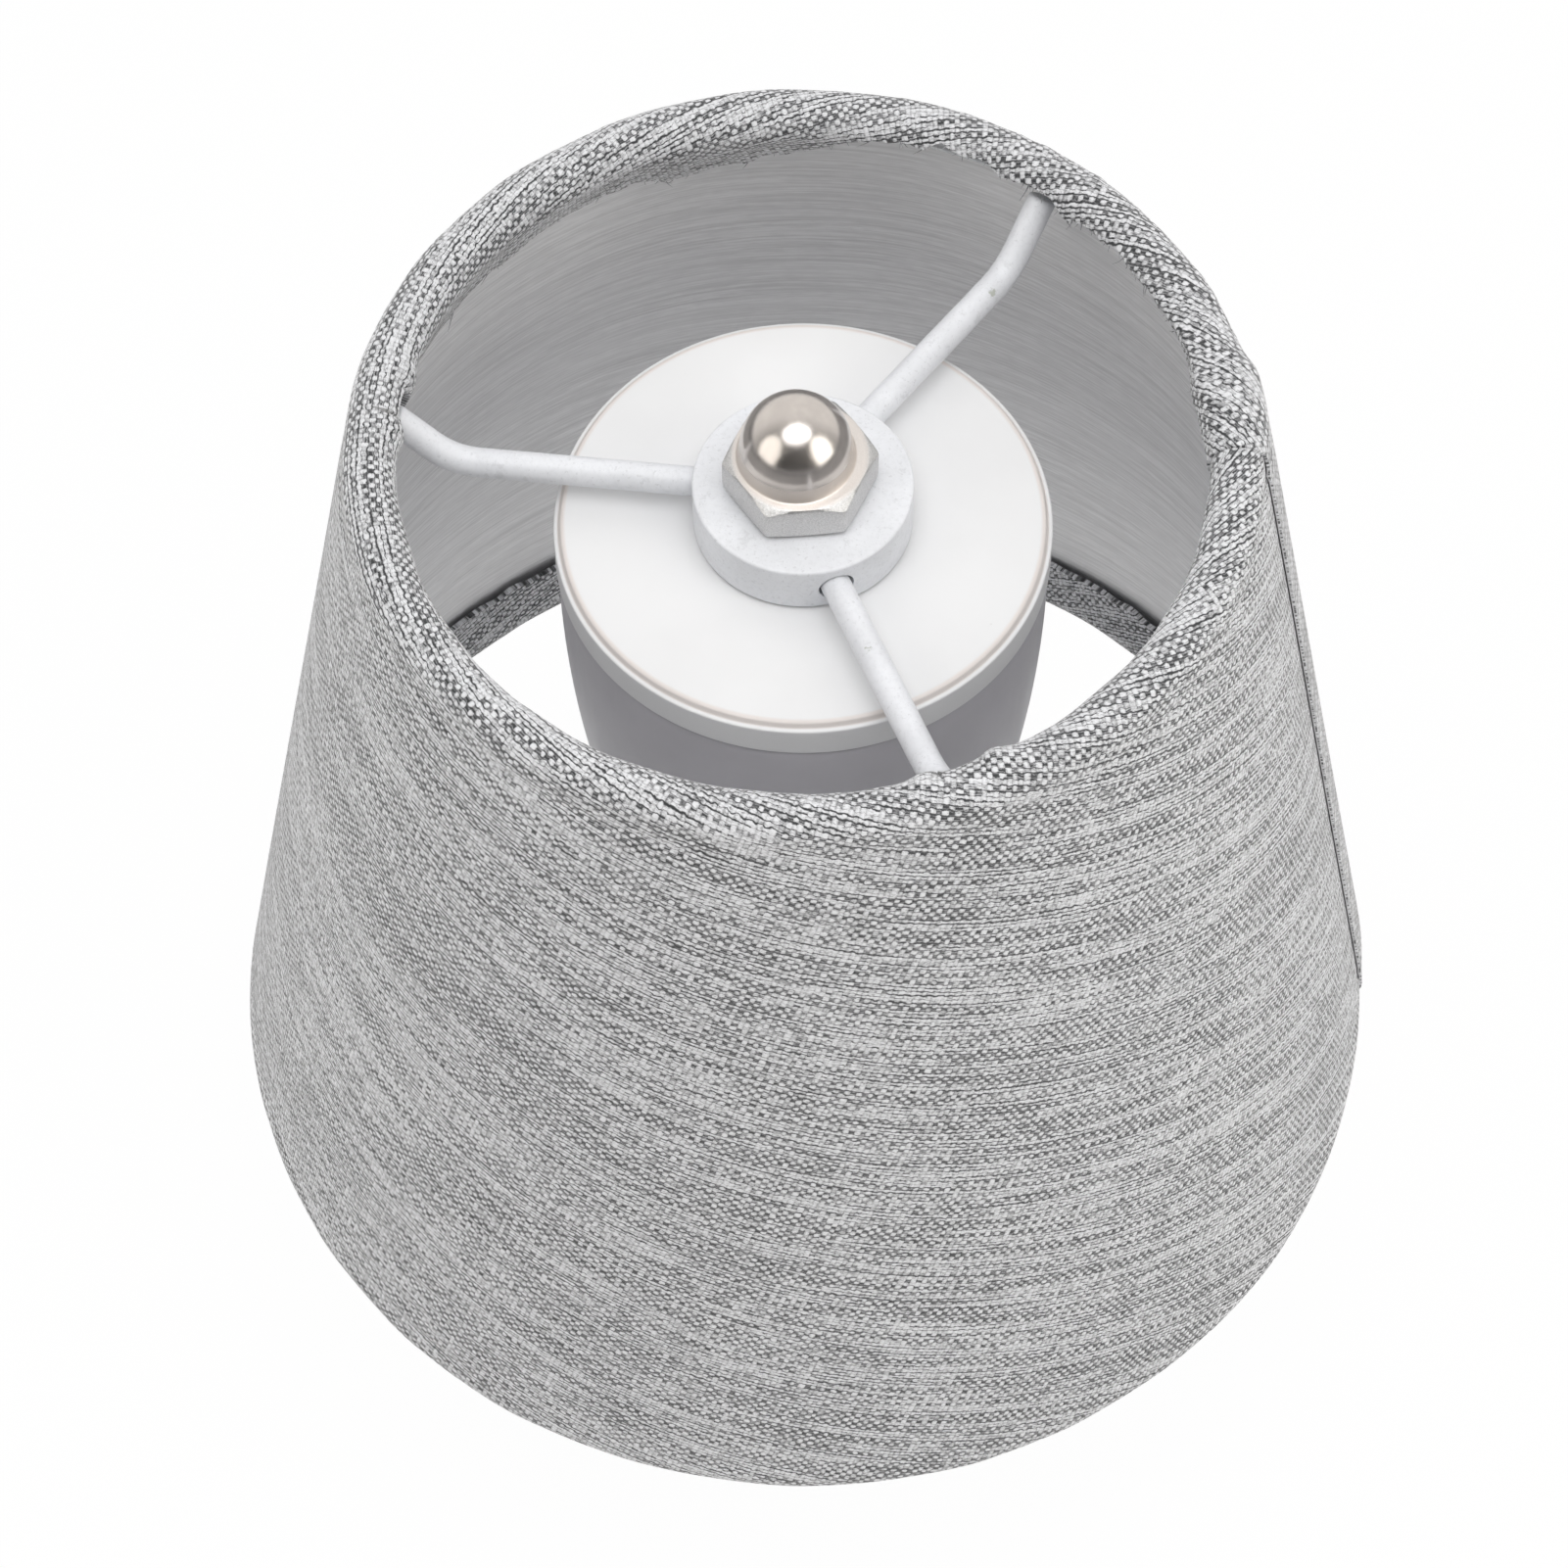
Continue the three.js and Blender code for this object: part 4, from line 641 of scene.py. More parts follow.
def cap_nut(head):
    """The domed nut. Round the axis its side's radius is a hexagon with slightly soft corners, half the
    flats over a high mean of the cosines to its three pairs of flats. The side ends in a chamfer that
    comes down from the flat face by the tangent of 30 degrees. A collar stands on it, and a half ball on
    the collar."""
    bottom = NUT_LOW.z
    hex_top = bottom + head.nut_hex
    centre = hex_top + head.nut_collar_height
    sides = 360
    azimuth = np.linspace(0, TURN, sides, endpoint=False)[None, :]
    flats = head.nut_corner + math.pi / 6 + np.arange(3)[:, None] * math.pi / 3
    power = 46
    mean = (np.abs(np.cos(azimuth - flats)) ** power).sum(axis=0, keepdims=True) ** (1 / power)
    side = head.nut_flats / 2 / mean
    drop = np.clip(side - head.nut_face, 0, None) * math.tan(math.radians(30))
    face = np.minimum(head.nut_face, side)
    edge = head.nut_edge
    thread_end, roof_height = bottom + 5 * MM, bottom + 6 * MM
    rows = [
        (head.nut_bore, thread_end),
        (head.nut_bore, bottom),
        (side - drop * 0.5 - edge, bottom),
        (side - edge * 0.3, bottom + drop * 0.4 + edge),
        (side, bottom + drop * 0.5 + 3 * edge),
        (side, hex_top - drop - 2 * edge),
        (side - edge * 0.35, hex_top - drop - edge * 0.3),
        (face + (side - face) * 0.5, hex_top - drop * 0.5),
        (face, hex_top - edge * 0.2),
        (face - 2 * edge, hex_top),
    ]
    first_moved = len(rows)
    collar_curve = [(0.12, -0.01), (0.02, 0.02), (-0.05, 0.07), (-0.10, 0.16)]
    rows += [(head.nut_collar + out * MM, hex_top + up * MM) for out, up in collar_curve]
    dome_start = 0.10
    rise = np.linspace(dome_start, math.pi / 2, 30)
    rows += [(head.nut_dome * math.cos(a), centre + head.nut_dome * math.sin(a)) for a in rise]
    radius, height = [np.vstack([np.broadcast_to(row[i], azimuth.shape) for row in rows]) for i in (0, 1)]
    grid = round_axis(radius, azimuth, height)
    grid[first_moved:, :, 0] -= head.dome_offset
    grid[..., 0] -= head.nut_play
    roof = np.array([-head.nut_play, 0, roof_height])
    grid = np.vstack([np.broadcast_to(roof, (1, sides, 3)), grid])
    return new_piece("domed_nut", grid, quads(len(grid), sides, close_columns=True), sharp=30)


def top_cap():
    """The cap: a flange with a raised middle on a short slope, a recess below and a skirt round it."""
    rim = DIFFUSER_HIGH.z
    skirt = CAP_LOW.z
    outside = CAP_HIGH.x
    inside = 24.2 * MM
    top = CAP_HIGH.z
    flange = rim + 1.85 * MM
    recess, board = 21.3 * MM, rim + 1.2 * MM
    bore, half = 4.3 * MM, 99.5 * MM
    under = [(bore, half), (bore, board), (recess, board), (recess, rim)]
    skirt_edge = [(inside, rim), (inside, skirt), (outside, skirt), (outside, skirt + 1 * MM)]
    slope = [(24.55 * MM, flange + 0.05 * MM), (24.42 * MM, flange + 0.3 * MM), (24.25 * MM, top - 0.04 * MM)]
    over = [
        (outside, skirt + 1 * MM), (outside, flange), *slope, (23.7 * MM, top), (bore, top), (bore, half),
    ]
    profile = np.vstack([under, rounded(skirt_edge, 0.15 * MM)[:-1], rounded(over, 0.25 * MM)[:-1]])
    return turned("cap", profile, sides=240, sharp=50)


def diffuser_radius(body, height):
    """The diffuser's outside: straight at the top, then narrower with the square of the depth below."""
    bend = 90 * MM
    share = np.clip((bend - height) / (bend - DIFFUSER_LOW.z), 0, None)
    return body.diffuser_top - (body.diffuser_top - body.diffuser_foot) * share**2


def diffuser(body):
    """The smoked cup: its curved side carried round the axis, a wall's thickness inside it the inner
    face, a narrower rim in the cap's skirt and a floor with a hole for the battery tube."""
    low = DIFFUSER_LOW.z
    high = DIFFUSER_HIGH.z
    shoulder = CAP_LOW.z - 0.3 * MM
    hole, floor = 9.7 * MM, low + 1.8 * MM
    neck, neck_wall = 23.9 * MM, 1.5 * MM
    outside = np.linspace(low, shoulder - 0.3 * MM, 40)
    inside = np.linspace(floor, shoulder - body.diffuser_wall, 40)[::-1]
    profile = [
        (hole, low),
        *zip(diffuser_radius(body, outside), outside),
        (body.diffuser_top - 0.2 * MM, shoulder), (neck, shoulder), (neck, high), (neck - neck_wall, high),
        *zip(diffuser_radius(body, inside) - body.diffuser_wall, inside),
        (hole, floor),
    ]
    return turned("diffuser_cup", profile, sides=192)


def housing():
    """The base housing's shell with its button hole, lens hole and socket hole."""
    low = HOUSING_LOW.z
    high = HOUSING_HIGH.z
    foot, shoulder = 16.6 * MM, 17.2 * MM
    cavity, half = 15.4 * MM, 20 * MM
    hole, roof = 8.2 * MM, high - 3 * MM
    profile = [
        (cavity, half), (cavity, low), (foot, low), (shoulder, high),
        (hole, high), (hole, roof), (cavity, roof), (cavity, half),
    ]
    shell = turned("housing_shell", rounded(profile, 0.25 * MM)[:-1], sides=192)
    inwards, outwards = 8 * MM, 19 * MM
    button = drill(4.6 * MM, inwards, outwards, -math.pi / 2, BUTTON_HEIGHT)
    lens = drill(1.8 * MM, inwards, outwards, math.pi / 2, 19.5 * MM)
    socket_size = (9.54 * MM, 11 * MM, 3.8 * MM)
    socket_middle = (0, 13.5 * MM, 14.2 * MM)
    work = bmesh.new()
    bmesh.ops.create_cube(work, size=1)
    bmesh.ops.scale(work, verts=work.verts, vec=socket_size)
    bmesh.ops.translate(work, verts=work.verts, vec=socket_middle)
    mesh = bpy.data.meshes.new("socket")
    work.to_mesh(mesh)
    work.free()
    socket = bpy.data.objects.new("socket", mesh)
    bpy.context.scene.collection.objects.link(socket)
    return cut(shell, [button, lens, socket])


def button_cap():
    """The power button: a round cap with a soft edge and a slightly dished face, laid along -Y."""
    face = -BUTTON_LOW.y
    back = -BUTTON_HIGH.y
    flange, side, dished = 5.3 * MM, 4.3 * MM, 3.4 * MM
    flange_front = back + 1 * MM
    dish_depth = 0.25 * MM
    outline = [
        (0, back), (flange, back), (flange, flange_front), (side, flange_front), (side, face), (dished, face),
    ]
    inwards = 1 - np.linspace(0, 1, 8)[1:, None]
    dish = np.hstack([dished * inwards, face - dish_depth * (1 - inwards**2)])
    piece = turned("button_cap", np.vstack([rounded(outline, 0.3 * MM), dish]), sides=96)
    lift = Matrix.Translation((0, 0, BUTTON_HEIGHT))
    piece.data.transform(
        lift @ Matrix.Rotation(-math.pi / 2, 4, "Z") @ Matrix.Rotation(math.pi / 2, 4, "Y")
    )
    return piece


def stopper_plug():
    """The rubber stopper: a flange, and a plug that narrows to its tip and swells at four soft ribs.
    A rib's rise is a bell that is squared off by raising the height's distance to the fourth power."""
    depth = -STOPPER_LOW.z
    top = STOPPER_HIGH.z
    height = np.linspace(-depth + 0.5 * MM, -0.8 * MM, 120)
    root, tip = 9.2, 8.4
    ribs = 4
    rib_rise, rib_width = 0.8 * MM, 0.95 * MM
    side = root * MM + (tip - root) * MM * (-height / depth)
    for rib in range(1, ribs + 1):
        side = side + rib_rise * np.exp(-(((height + depth / (ribs + 1) * rib) / rib_width) ** 4))
    hollow, screw_hole, hollow_end = 5.6 * MM, 4.3 * MM, -depth + 4 * MM
    under, flange = 10 * MM, 15 * MM
    plug = [
        (hollow, -depth), (8.0 * MM, -depth), (8.3 * MM, -depth + 0.15 * MM),
        *zip(side, height),
        (9.4 * MM, -0.3 * MM), (under, 0),
    ]
    brim = rounded([(under, 0), (flange, 0), (flange, top), (screw_hole, top)], 0.6 * MM)[1:]
    inner = [(screw_hole, hollow_end), (hollow, hollow_end)]
    return turned("plug", np.vstack([plug, brim, inner]), sides=128, sharp=45)


# Finishes


def feed(tree, socket, value):
    """Joins a term or a node's output to a socket, or sets the socket's own value."""
    source = value.socket if isinstance(value, Term) else value
    if isinstance(source, bpy.types.NodeSocket):
        tree.links.new(source, socket)
    else:
        socket.default_value = source


def add_node(tree, kind, inputs=(), **settings):
    """A new shader node with its settings, and its inputs fed in order, or by name from a dictionary."""
    node = tree.nodes.new(f"ShaderNode{kind}")
    for name, value in settings.items():
        setattr(node, name, value)
    for key, value in inputs.items() if isinstance(inputs, dict) else enumerate(inputs):
        feed(tree, node.inputs[key], value)
    return node


class Term:
    """A number that varies over a surface, so that formulas of nodes read like formulas."""

    def __init__(self, tree, socket):
        self.tree = tree
        self.socket = socket

    def made(self, operation, *values):
        return Term(self.tree, add_node(self.tree, "Math", values, operation=operation).outputs[0])

    def __add__(self, other):
        return self.made("ADD", self, other)

    def __mul__(self, other):
        return self.made("MULTIPLY", self, other)

    __rmul__ = __mul__

    def __sub__(self, other):
        return self.made("SUBTRACT", self, other)

    def __rsub__(self, other):
        return self.made("SUBTRACT", other, self)

    def floor(self):
        return self.made("FLOOR", self)

    def size(self):
        return self.made("ABSOLUTE", self)

    def cosine(self):
        return self.made("COSINE", self)

    def most(self, other):
        return self.made("MAXIMUM", self, other)

    def odd(self):
        """One where a whole number is odd, and nought where it is even."""
        return (self - 2 * (self * 0.5).floor()).size()

    def between(self, low, high, to_low=0.0, to_high=1.0):
        """Moved smoothly from one range to another."""
        values = (self, low, high, to_low, to_high)
        node = add_node(self.tree, "MapRange", values, interpolation_type="SMOOTHSTEP")
        return Term(self.tree, node.outputs[0])


class Finish:
    """A node material while it is made: one principled shader and the nodes that vary it."""

    def __init__(self, name, roughness=0.5, metallic=0.0, **sockets):
        self.material = bpy.data.materials.new(name)
        self.material.use_nodes = True
        self.tree = self.material.node_tree
        self.tree.nodes.clear()
        named = {socket.replace("_", " "): value for socket, value in sockets.items()}
        self.output = self.add("OutputMaterial")
        self.shader = self.add("BsdfPrincipled", {"Roughness": roughness, "Metallic": metallic, **named})
        feed(self.tree, self.output.inputs[0], self.shader.outputs[0])

    def add(self, kind, inputs=(), **settings):
        return add_node(self.tree, kind, inputs, **settings)

    def place(self, scale=(1, 1, 1)):
        """The point on the object, stretched by a scale."""
        source = self.add("TexCoord").outputs["Object"]
        return self.add("Mapping", {"Vector": source, "Scale": scale}).outputs[0]

    def split(self, vector):
        return [Term(self.tree, socket) for socket in self.add("SeparateXYZ", [vector]).outputs]

    def join(self, x=0.0, y=0.0, z=0.0):
        return self.add("CombineXYZ", [x, y, z]).outputs[0]

    def noise(self, vector, scale=1.0, detail=2.0, rough=0.5):
        inputs = {"Vector": vector, "Scale": scale, "Detail": detail, "Roughness": rough}
        return Term(self.tree, self.add("TexNoise", inputs).outputs[0])

    def patch(self, x, y, z, detail=0, rough=0.5):
        """Noise at a point that is made of three numbers."""
        return self.noise(self.join(x, y, z), 1, detail, rough)

    def far_from(self, vector, spot):
        """The distance from a spot."""
        node = self.add("VectorMath", [vector, spot], operation="DISTANCE")
        return Term(self.tree, node.outputs["Value"])

    def mix(self, share, first, second):
        """A colour between two others, each a node's output or three numbers."""
        first, second = [
            value if isinstance(value, bpy.types.NodeSocket) else (*value, 1.0) for value in (first, second)
        ]
        return self.add("Mix", {0: share, 6: first, 7: second}, data_type="RGBA").outputs[2]

    def shades(self, share, base, low, high):
        """A colour between two shares of a base colour."""
        return self.mix(share, shaded(base, low), shaded(base, high))

    def colour(self, value):
        feed(self.tree, self.shader.inputs["Base Color"], value)

    def roughness(self, value):
        feed(self.tree, self.shader.inputs["Roughness"], value)

    def bump(self, height, distance, strength=1.0):
        node = self.add("Bump", {"Strength": strength, "Distance": distance, "Height": height})
        feed(self.tree, self.shader.inputs["Normal"], node.outputs[0])


def shaded(value, share):
    """A colour times a share."""
    return tuple(min(1.0, channel * share) for channel in value)


def linear(value):
    """A colour channel of the screen's scale in the scale that light adds up in."""
    return ((value + 0.055) / 1.055) ** 2.4


def coated(name, base, vary=0.06, roughness=0.4, spread=0.08, scale=900, depth=0.01 * MM, metallic=0.0):
    """A plain finish with its own life: cloudy tone, fine grain in roughness and height, and a few
    rubbed spots that are paler."""
    finish = Finish(name, roughness, metallic)
    place = finish.place()
    cloud = finish.noise(place, scale * 0.12, 3)
    grain = finish.noise(place, scale, 4, 0.6)
    tone = finish.shades(cloud.between(0.3, 0.7), base, 1 - vary, 1 + vary * 0.4)
    rubbed = finish.noise(place, scale * 0.35, 5, 0.7).between(0.66, 0.74, 0, 0.35)
    finish.colour(finish.mix(rubbed, tone, shaded(base, 1 + vary)))
    finish.roughness(grain.between(0.3, 0.7, max(0.02, roughness - spread), roughness + spread))
    finish.bump(grain, depth, 0.6)
    return finish.material


def weave_finish(shade):
    """A plain weave on the cloth's own flat pattern, in counts of warp and weft yarns.

    Slow noise moves both counts, so that no row or column is straight. The rows are then waved by the
    product of two cosines, so that each float of the warp is a tall pillow and each float of the weft a
    low one between two pillows. The whole parts of the two counts name a crossing, and their sum, odd
    or even, says which yarn lies on top. The weft is dark or pale in long runs, the line between two
    rows is painted shade, a dark gap that comes and goes along the row, each float is painted darker
    towards its sides as shade, and single crossings are a little mottled.
    """
    finish = Finish("woven cloth", 0.9, 0.0, Sheen_Weight=0.35, Sheen_Roughness=0.45, Specular_IOR_Level=0.2)
    flat = finish.split(finish.add("UVMap", uv_map="flat_cloth").outputs[0])
    warp = flat[0] * (1 / shade.warp_pitch)
    weft = flat[1] * (1 / shade.weft_pitch)
    sway = finish.patch(warp * 0.03, weft * 0.36, 0.0, 2, 0.6)
    lean = finish.patch(warp * 0.4, weft * 0.12, 4.0, 2, 0.6)
    crook = finish.patch(warp * 0.9, weft * 0.8, 7.0, 2, 0.6)
    weft = weft + (sway - 0.5) * 1.1 + (crook - 0.5) * 0.80
    warp = warp + (lean - 0.5) * 1.2
    wave = ((warp - 0.5) * math.pi).cosine() * (weft * math.pi).cosine()
    weft = weft + wave * 0.09
    column = warp.floor()
    row = weft.floor()
    boundary = (weft + 0.5).floor()
    across_far = (warp - column - 0.5).size()
    down_far = (weft - row - 0.5).size()
    weft_up = (column + row).odd()

    run = finish.patch(warp * 0.030, row * 5.37, 2.0, 5, 0.65)
    area = finish.patch(warp * 0.010, weft * 0.30, 9.0, 1)
    cell = finish.patch(column * 1.83, row * 2.71, 3.0)
    line = finish.patch(warp * 0.025, boundary * 7.91, 6.0, 4, 0.6)
    dash = finish.patch(column * 2.37, boundary * 3.17, 8.0)
    strand = finish.patch(warp * 0.35, row * 3.71, 5.0, 3, 0.7)
    mottle = finish.patch(column * 3.13, row * 1.97, 11.0)
    fibre = finish.noise(finish.join(flat[0] * 0.4, flat[1]), 4300, 4, 0.85)

    yarn = (run - 0.5) * 1.25 + (area - 0.5) * 0.30 + (cell - 0.5) * 0.26 + 0.5
    dark = yarn.between(0.50, 0.42)
    thin = cell.between(0.3, 0.7, 0.12, 0.30)
    gap = (line + (dash - 0.5) * 0.5).between(0.36, 0.64, 0.03, 0.36)
    rough_down = down_far + (fibre - 0.5) * 0.20
    # The rim is painted shade: a dark line in the gap between two rows, weaker where the weft is dark.
    rim = rough_down.between(0.5 - gap, 0.5) * (1 - dark * weft_up * 0.55)
    core = rough_down.between(thin + 0.10, thin - 0.06)

    core_dark = dark * core * mottle.between(0.3, 0.7, 0.6, 1.0) * across_far.between(0.34, 0.50, 0.82, 0.35)
    pale_weft = yarn.between(0.44, 0.60, 0.62, 1.0)
    # Each weft float is painted darker towards its sides, as shade.
    weft_tone = pale_weft * (1 - core_dark) * across_far.between(0.25, 0.5, 1, 0.85)
    warp_tone = strand.between(0.30, 0.65, 0.82, 1.17) * mottle.between(0.3, 0.7, 1.10, 0.86)
    # Each warp pillow is painted darker towards its sides, as shade on its round flanks.
    warp_tone = warp_tone * across_far.between(0.15, 0.5, 1, 0.76)
    tone = weft_up * weft_tone + (1 - weft_up) * warp_tone
    # Here the rim darkens the tone as painted shade between the rows.
    tone = tone * (1 - rim * 0.92) * fibre.between(0.27, 0.73, 0.50, 1.48)
    finish.colour(finish.mix(tone.between(0.17, 1.14), tuple(shade.dark_yarn), tuple(shade.light_yarn)))

    pillow = across_far.between(0.1, 0.5, 1, 0.3) * (1 - rim)
    relief = 0.16 * MM
    finish.bump(pillow * (1 - weft_up * 0.45) + fibre * 0.25, relief, 0.8)
    return finish.material


def liner_finish(shade):
    """Fine brushed streaks round the shade: noise that changes fast with height and slowly round it."""
    finish = Finish("grey liner", 0.5, 0.0, Specular_IOR_Level=0.35)
    base = tuple(shade.liner_colour)
    streak = finish.noise(finish.place((70, 70, 2600)), 1, 3, 0.65)
    broad = finish.noise(finish.place((25, 25, 500)), 1, 2)
    fine = finish.noise(finish.place((500, 500, 2200)), 1, 2)
    tone = finish.shades(streak.between(0.3, 0.7), base, 0.84, 1.10)
    tone = finish.mix(fine.between(0.35, 0.7, 0, 0.35), tone, shaded(base, 0.78))
    finish.colour(finish.mix(broad.between(0.35, 0.65, 0, 0.3), tone, shaded(base, 1.08)))
    finish.roughness(fine.between(0.3, 0.7, 0.42, 0.6))
    finish.bump(streak, 0.03 * MM, 0.5)
    return finish.material


def enamel_finish(head):
    """White enamel with soft unevenness, specks, dust and scuffs, and a few chips that show grey metal
    and a green tinge."""
    finish = Finish("white enamel", 0.36)
    base = tuple(head.enamel)
    bare = (0.42, 0.44, 0.38)
    place = finish.place()
    soft = finish.noise(place, 160, 3)
    grain = finish.noise(place, 1500, 3, 0.6)
    ragged = (finish.noise(place, 1100, 3, 0.7) - 0.5) * 2.6 * MM
    chips = grain * 0
    for x, y, z, size in ENAMEL_CHIPS:
        away = finish.far_from(place, (x * MM, y * MM, z * MM)) + ragged
        chips = chips.most(away.between(size * 0.55 * MM, size * 0.25 * MM))
    specks = finish.noise(place, 2600, 2).between(0.62, 0.70)
    dust = finish.noise(place, 1900, 5, 0.8).between(0.45, 0.72)
    scuffs = finish.noise(place, 420, 5, 0.75).between(0.60, 0.66)
    dirt = (specks * 0.24).most(scuffs * 0.22).most(dust * 0.16)
    tone = finish.shades(soft.between(0.35, 0.65), base, 0.95, 1.02)
    worn = finish.mix(dirt, tone, shaded(base, 0.45))
    finish.colour(finish.mix(chips * 0.75, worn, bare))
    finish.roughness(grain.between(0.3, 0.7, 0.30, 0.45))
    finish.bump(soft + grain * 0.45 - chips, 0.07 * MM, 0.6)
    return finish.material


def nickel_finish(head):
    """Soft-polished nickel on the dome, a duller collar round its foot whose paler nickel is painted light
    standing in for what it reflects, and satin, finely worked metal on the hexagon below."""
    finish = Finish("nickel plate", 0.16, 1.0)
    base = tuple(head.nickel)
    satin_dark, satin_pale = (0.58, 0.575, 0.57), (0.73, 0.725, 0.72)
    place = finish.place()
    height = finish.split(place)[2]
    polished = height.between(NUT_LOW.z + 4.2 * MM, NUT_LOW.z + 4.5 * MM)
    collar = height.between(NUT_LOW.z + 6.1 * MM, NUT_LOW.z + 5.8 * MM)
    scratch = finish.noise(finish.place((3600, 3600, 2400)), 1, 3, 0.7)
    grit = finish.noise(place, 8000, 2, 0.6)
    cloud = finish.noise(place, 420, 4, 0.6)
    tone = finish.shades(cloud.between(0.35, 0.7), base, 0.94, 1.03)
    worn = finish.mix(grit.between(0.35, 0.65), satin_dark, satin_pale)
    # The collar's paler copy of the nickel is painted light, standing in for the light it reflects.
    warm = finish.mix(collar, tone, shaded(base, 1.16))
    finish.colour(finish.mix(polished, worn, warm))
    rough_satin = scratch.between(0.3, 0.7, 0.34, 0.52)
    rough_polish = cloud.between(0.3, 0.8, 0.17, 0.27) + collar * 0.30
    finish.roughness(rough_satin + (rough_polish - rough_satin) * polished)
    finish.bump(scratch * polished.between(0, 1, 1, 0) + grit * polished * 0.10, 0.09 * MM, 0.8)
    return finish.material


def cap_finish(head):
    """Satin warm white with fine dust specks, the lightest orange peel, and a faint warm line of
    painted shade in the groove round the raised middle."""
    finish = Finish("warm white", 0.42, 0.0, Specular_IOR_Level=0.4)
    base = tuple(head.cap_white)
    groove_shade_tint = (0.70, 0.60, 0.54)
    place = finish.place()
    soft = finish.noise(place, 60, 3)
    peel = finish.noise(place, 1300, 2)
    specks = finish.noise(place, 900, 1).between(0.80, 0.86)
    tone = finish.shades(soft.between(0.35, 0.65), base, 0.975, 1.005)
    x, y, z = finish.split(place)
    squared = x * x + y * y
    inner = squared.between((23.7 * MM) ** 2, (24.1 * MM) ** 2)
    outer = squared.between((24.7 * MM) ** 2, (24.5 * MM) ** 2)
    upward = z.between(CAP_HIGH.z - 1.4 * MM, CAP_HIGH.z - 1.0 * MM)
    # A warm painted shade in the groove, on the ring just inside the raised middle's edge.
    groove_shaded = finish.mix(inner * outer * upward * 0.5, tone, groove_shade_tint)
    finish.colour(finish.mix(specks * 0.4, groove_shaded, shaded(base, 0.55)))
    finish.roughness(soft.between(0.3, 0.7, 0.37, 0.46))
    finish.bump(peel, 0.012 * MM, 0.5)
    return finish.material


def smoke_finish(body):
    """Smooth smoked plastic with a faint cloud, fine wipe marks and a gloss that varies a little."""
    finish = Finish("smoked opal", 0.34, 0.0, Specular_IOR_Level=0.35)
    base = tuple(body.smoke)
    cloud = finish.noise(finish.place(), 70, 3)
    wipe = finish.noise(finish.place((300, 300, 60)), 1, 4, 0.7)
    tone = finish.shades(cloud.between(0.35, 0.65), base, 0.97, 1.03)
    finish.colour(finish.mix(wipe.between(0.62, 0.72, 0, 0.10), tone, shaded(base, 1.3)))
    finish.roughness(wipe.between(0.3, 0.7, 0.30, 0.40))
    finish.bump(cloud, 0.02 * MM, 0.2)
    return finish.material


def floor_finish():
    """Plain pale floor. To the camera, and in gloss and glass, it is mostly an even white, and the rest
    of it is lit, so the object's shadow stays. From below it is clear, so the underside can be seen."""
    finish = Finish("pale floor", 0.9)
    finish.colour((0.86, 0.86, 0.86, 1))
    rays = finish.add("LightPath")
    camera, glossy, passing = [
        Term(finish.tree, rays.outputs[name])
        for name in ("Is Camera Ray", "Is Glossy Ray", "Is Transmission Ray")
    ]
    even = camera.most(glossy).most(passing) * 0.97
    white = finish.add("Emission").outputs[0]
    both = finish.add("MixShader", [even, finish.shader.outputs[0], white]).outputs[0]
    below = finish.add("NewGeometry").outputs["Backfacing"]
    clear = finish.add("BsdfTransparent").outputs[0]
    sided = finish.add("MixShader", [below, both, clear]).outputs[0]
    feed(finish.tree, finish.output.inputs[0], sided)
    return finish.material


def studio_world(stage):
    """Surroundings: a pale room behind the lamp that darkens towards the camera's side. The camera itself
    sees them as plain white."""
    world = bpy.data.worlds.new("studio")
    world.use_nodes = True
    tree = world.node_tree
    tree.nodes.clear()
    direction = add_node(tree, "TexCoord").outputs["Generated"]
    depth = Term(tree, add_node(tree, "SeparateXYZ", [direction]).outputs[1])
    level = depth.between(-0.45, 0.55, stage.front_level, stage.back_level)
    room = add_node(tree, "Background", [(1.0, 0.985, 0.97, 1), level]).outputs[0]
    white = add_node(tree, "Background", [(1, 1, 1, 1)]).outputs[0]
    seen = add_node(tree, "LightPath").outputs["Is Camera Ray"]
    add_node(tree, "OutputWorld", [add_node(tree, "MixShader", [seen, room, white]).outputs[0]])
    return world


def place_piece(piece, material, slot, body, *nodes):
    """Gives a piece its finish and its body, and lets it stand for its CAD nodes."""
    if not piece.data.materials:
        piece.data.materials.append(material)
    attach(piece, body)
    if nodes:
        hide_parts(*nodes)


# Operators


class LAMP_OT_shade_cloth(bpy.types.Operator):
    """Make the woven cloth and its frayed threads"""

    bl_idname = "lamp.shade_cloth"
    bl_label = "Shade cloth"

    def execute(self, context):
        shade = context.scene.lamp_shade
        cloth = shade_cloth(shade)
        woven = weave_finish(shade)
        cut_edge = coated("seam edge", (0.62, 0.62, 0.64), vary=0.08, roughness=0.7, spread=0.1, scale=2500)
        fibre = coated("loose fibre", (0.38, 0.38, 0.40), vary=0.5, roughness=0.85, spread=0.1, scale=2500)
        cloth.data.materials.append(woven)
        cloth.data.materials.append(cut_edge)
        threads = loose_threads(shade)
        place_piece(threads, fibre, "woven_cloth", "shade")
        place_piece(cloth, woven, "woven_cloth", "shade", "shade_fabric")
        return {"FINISHED"}


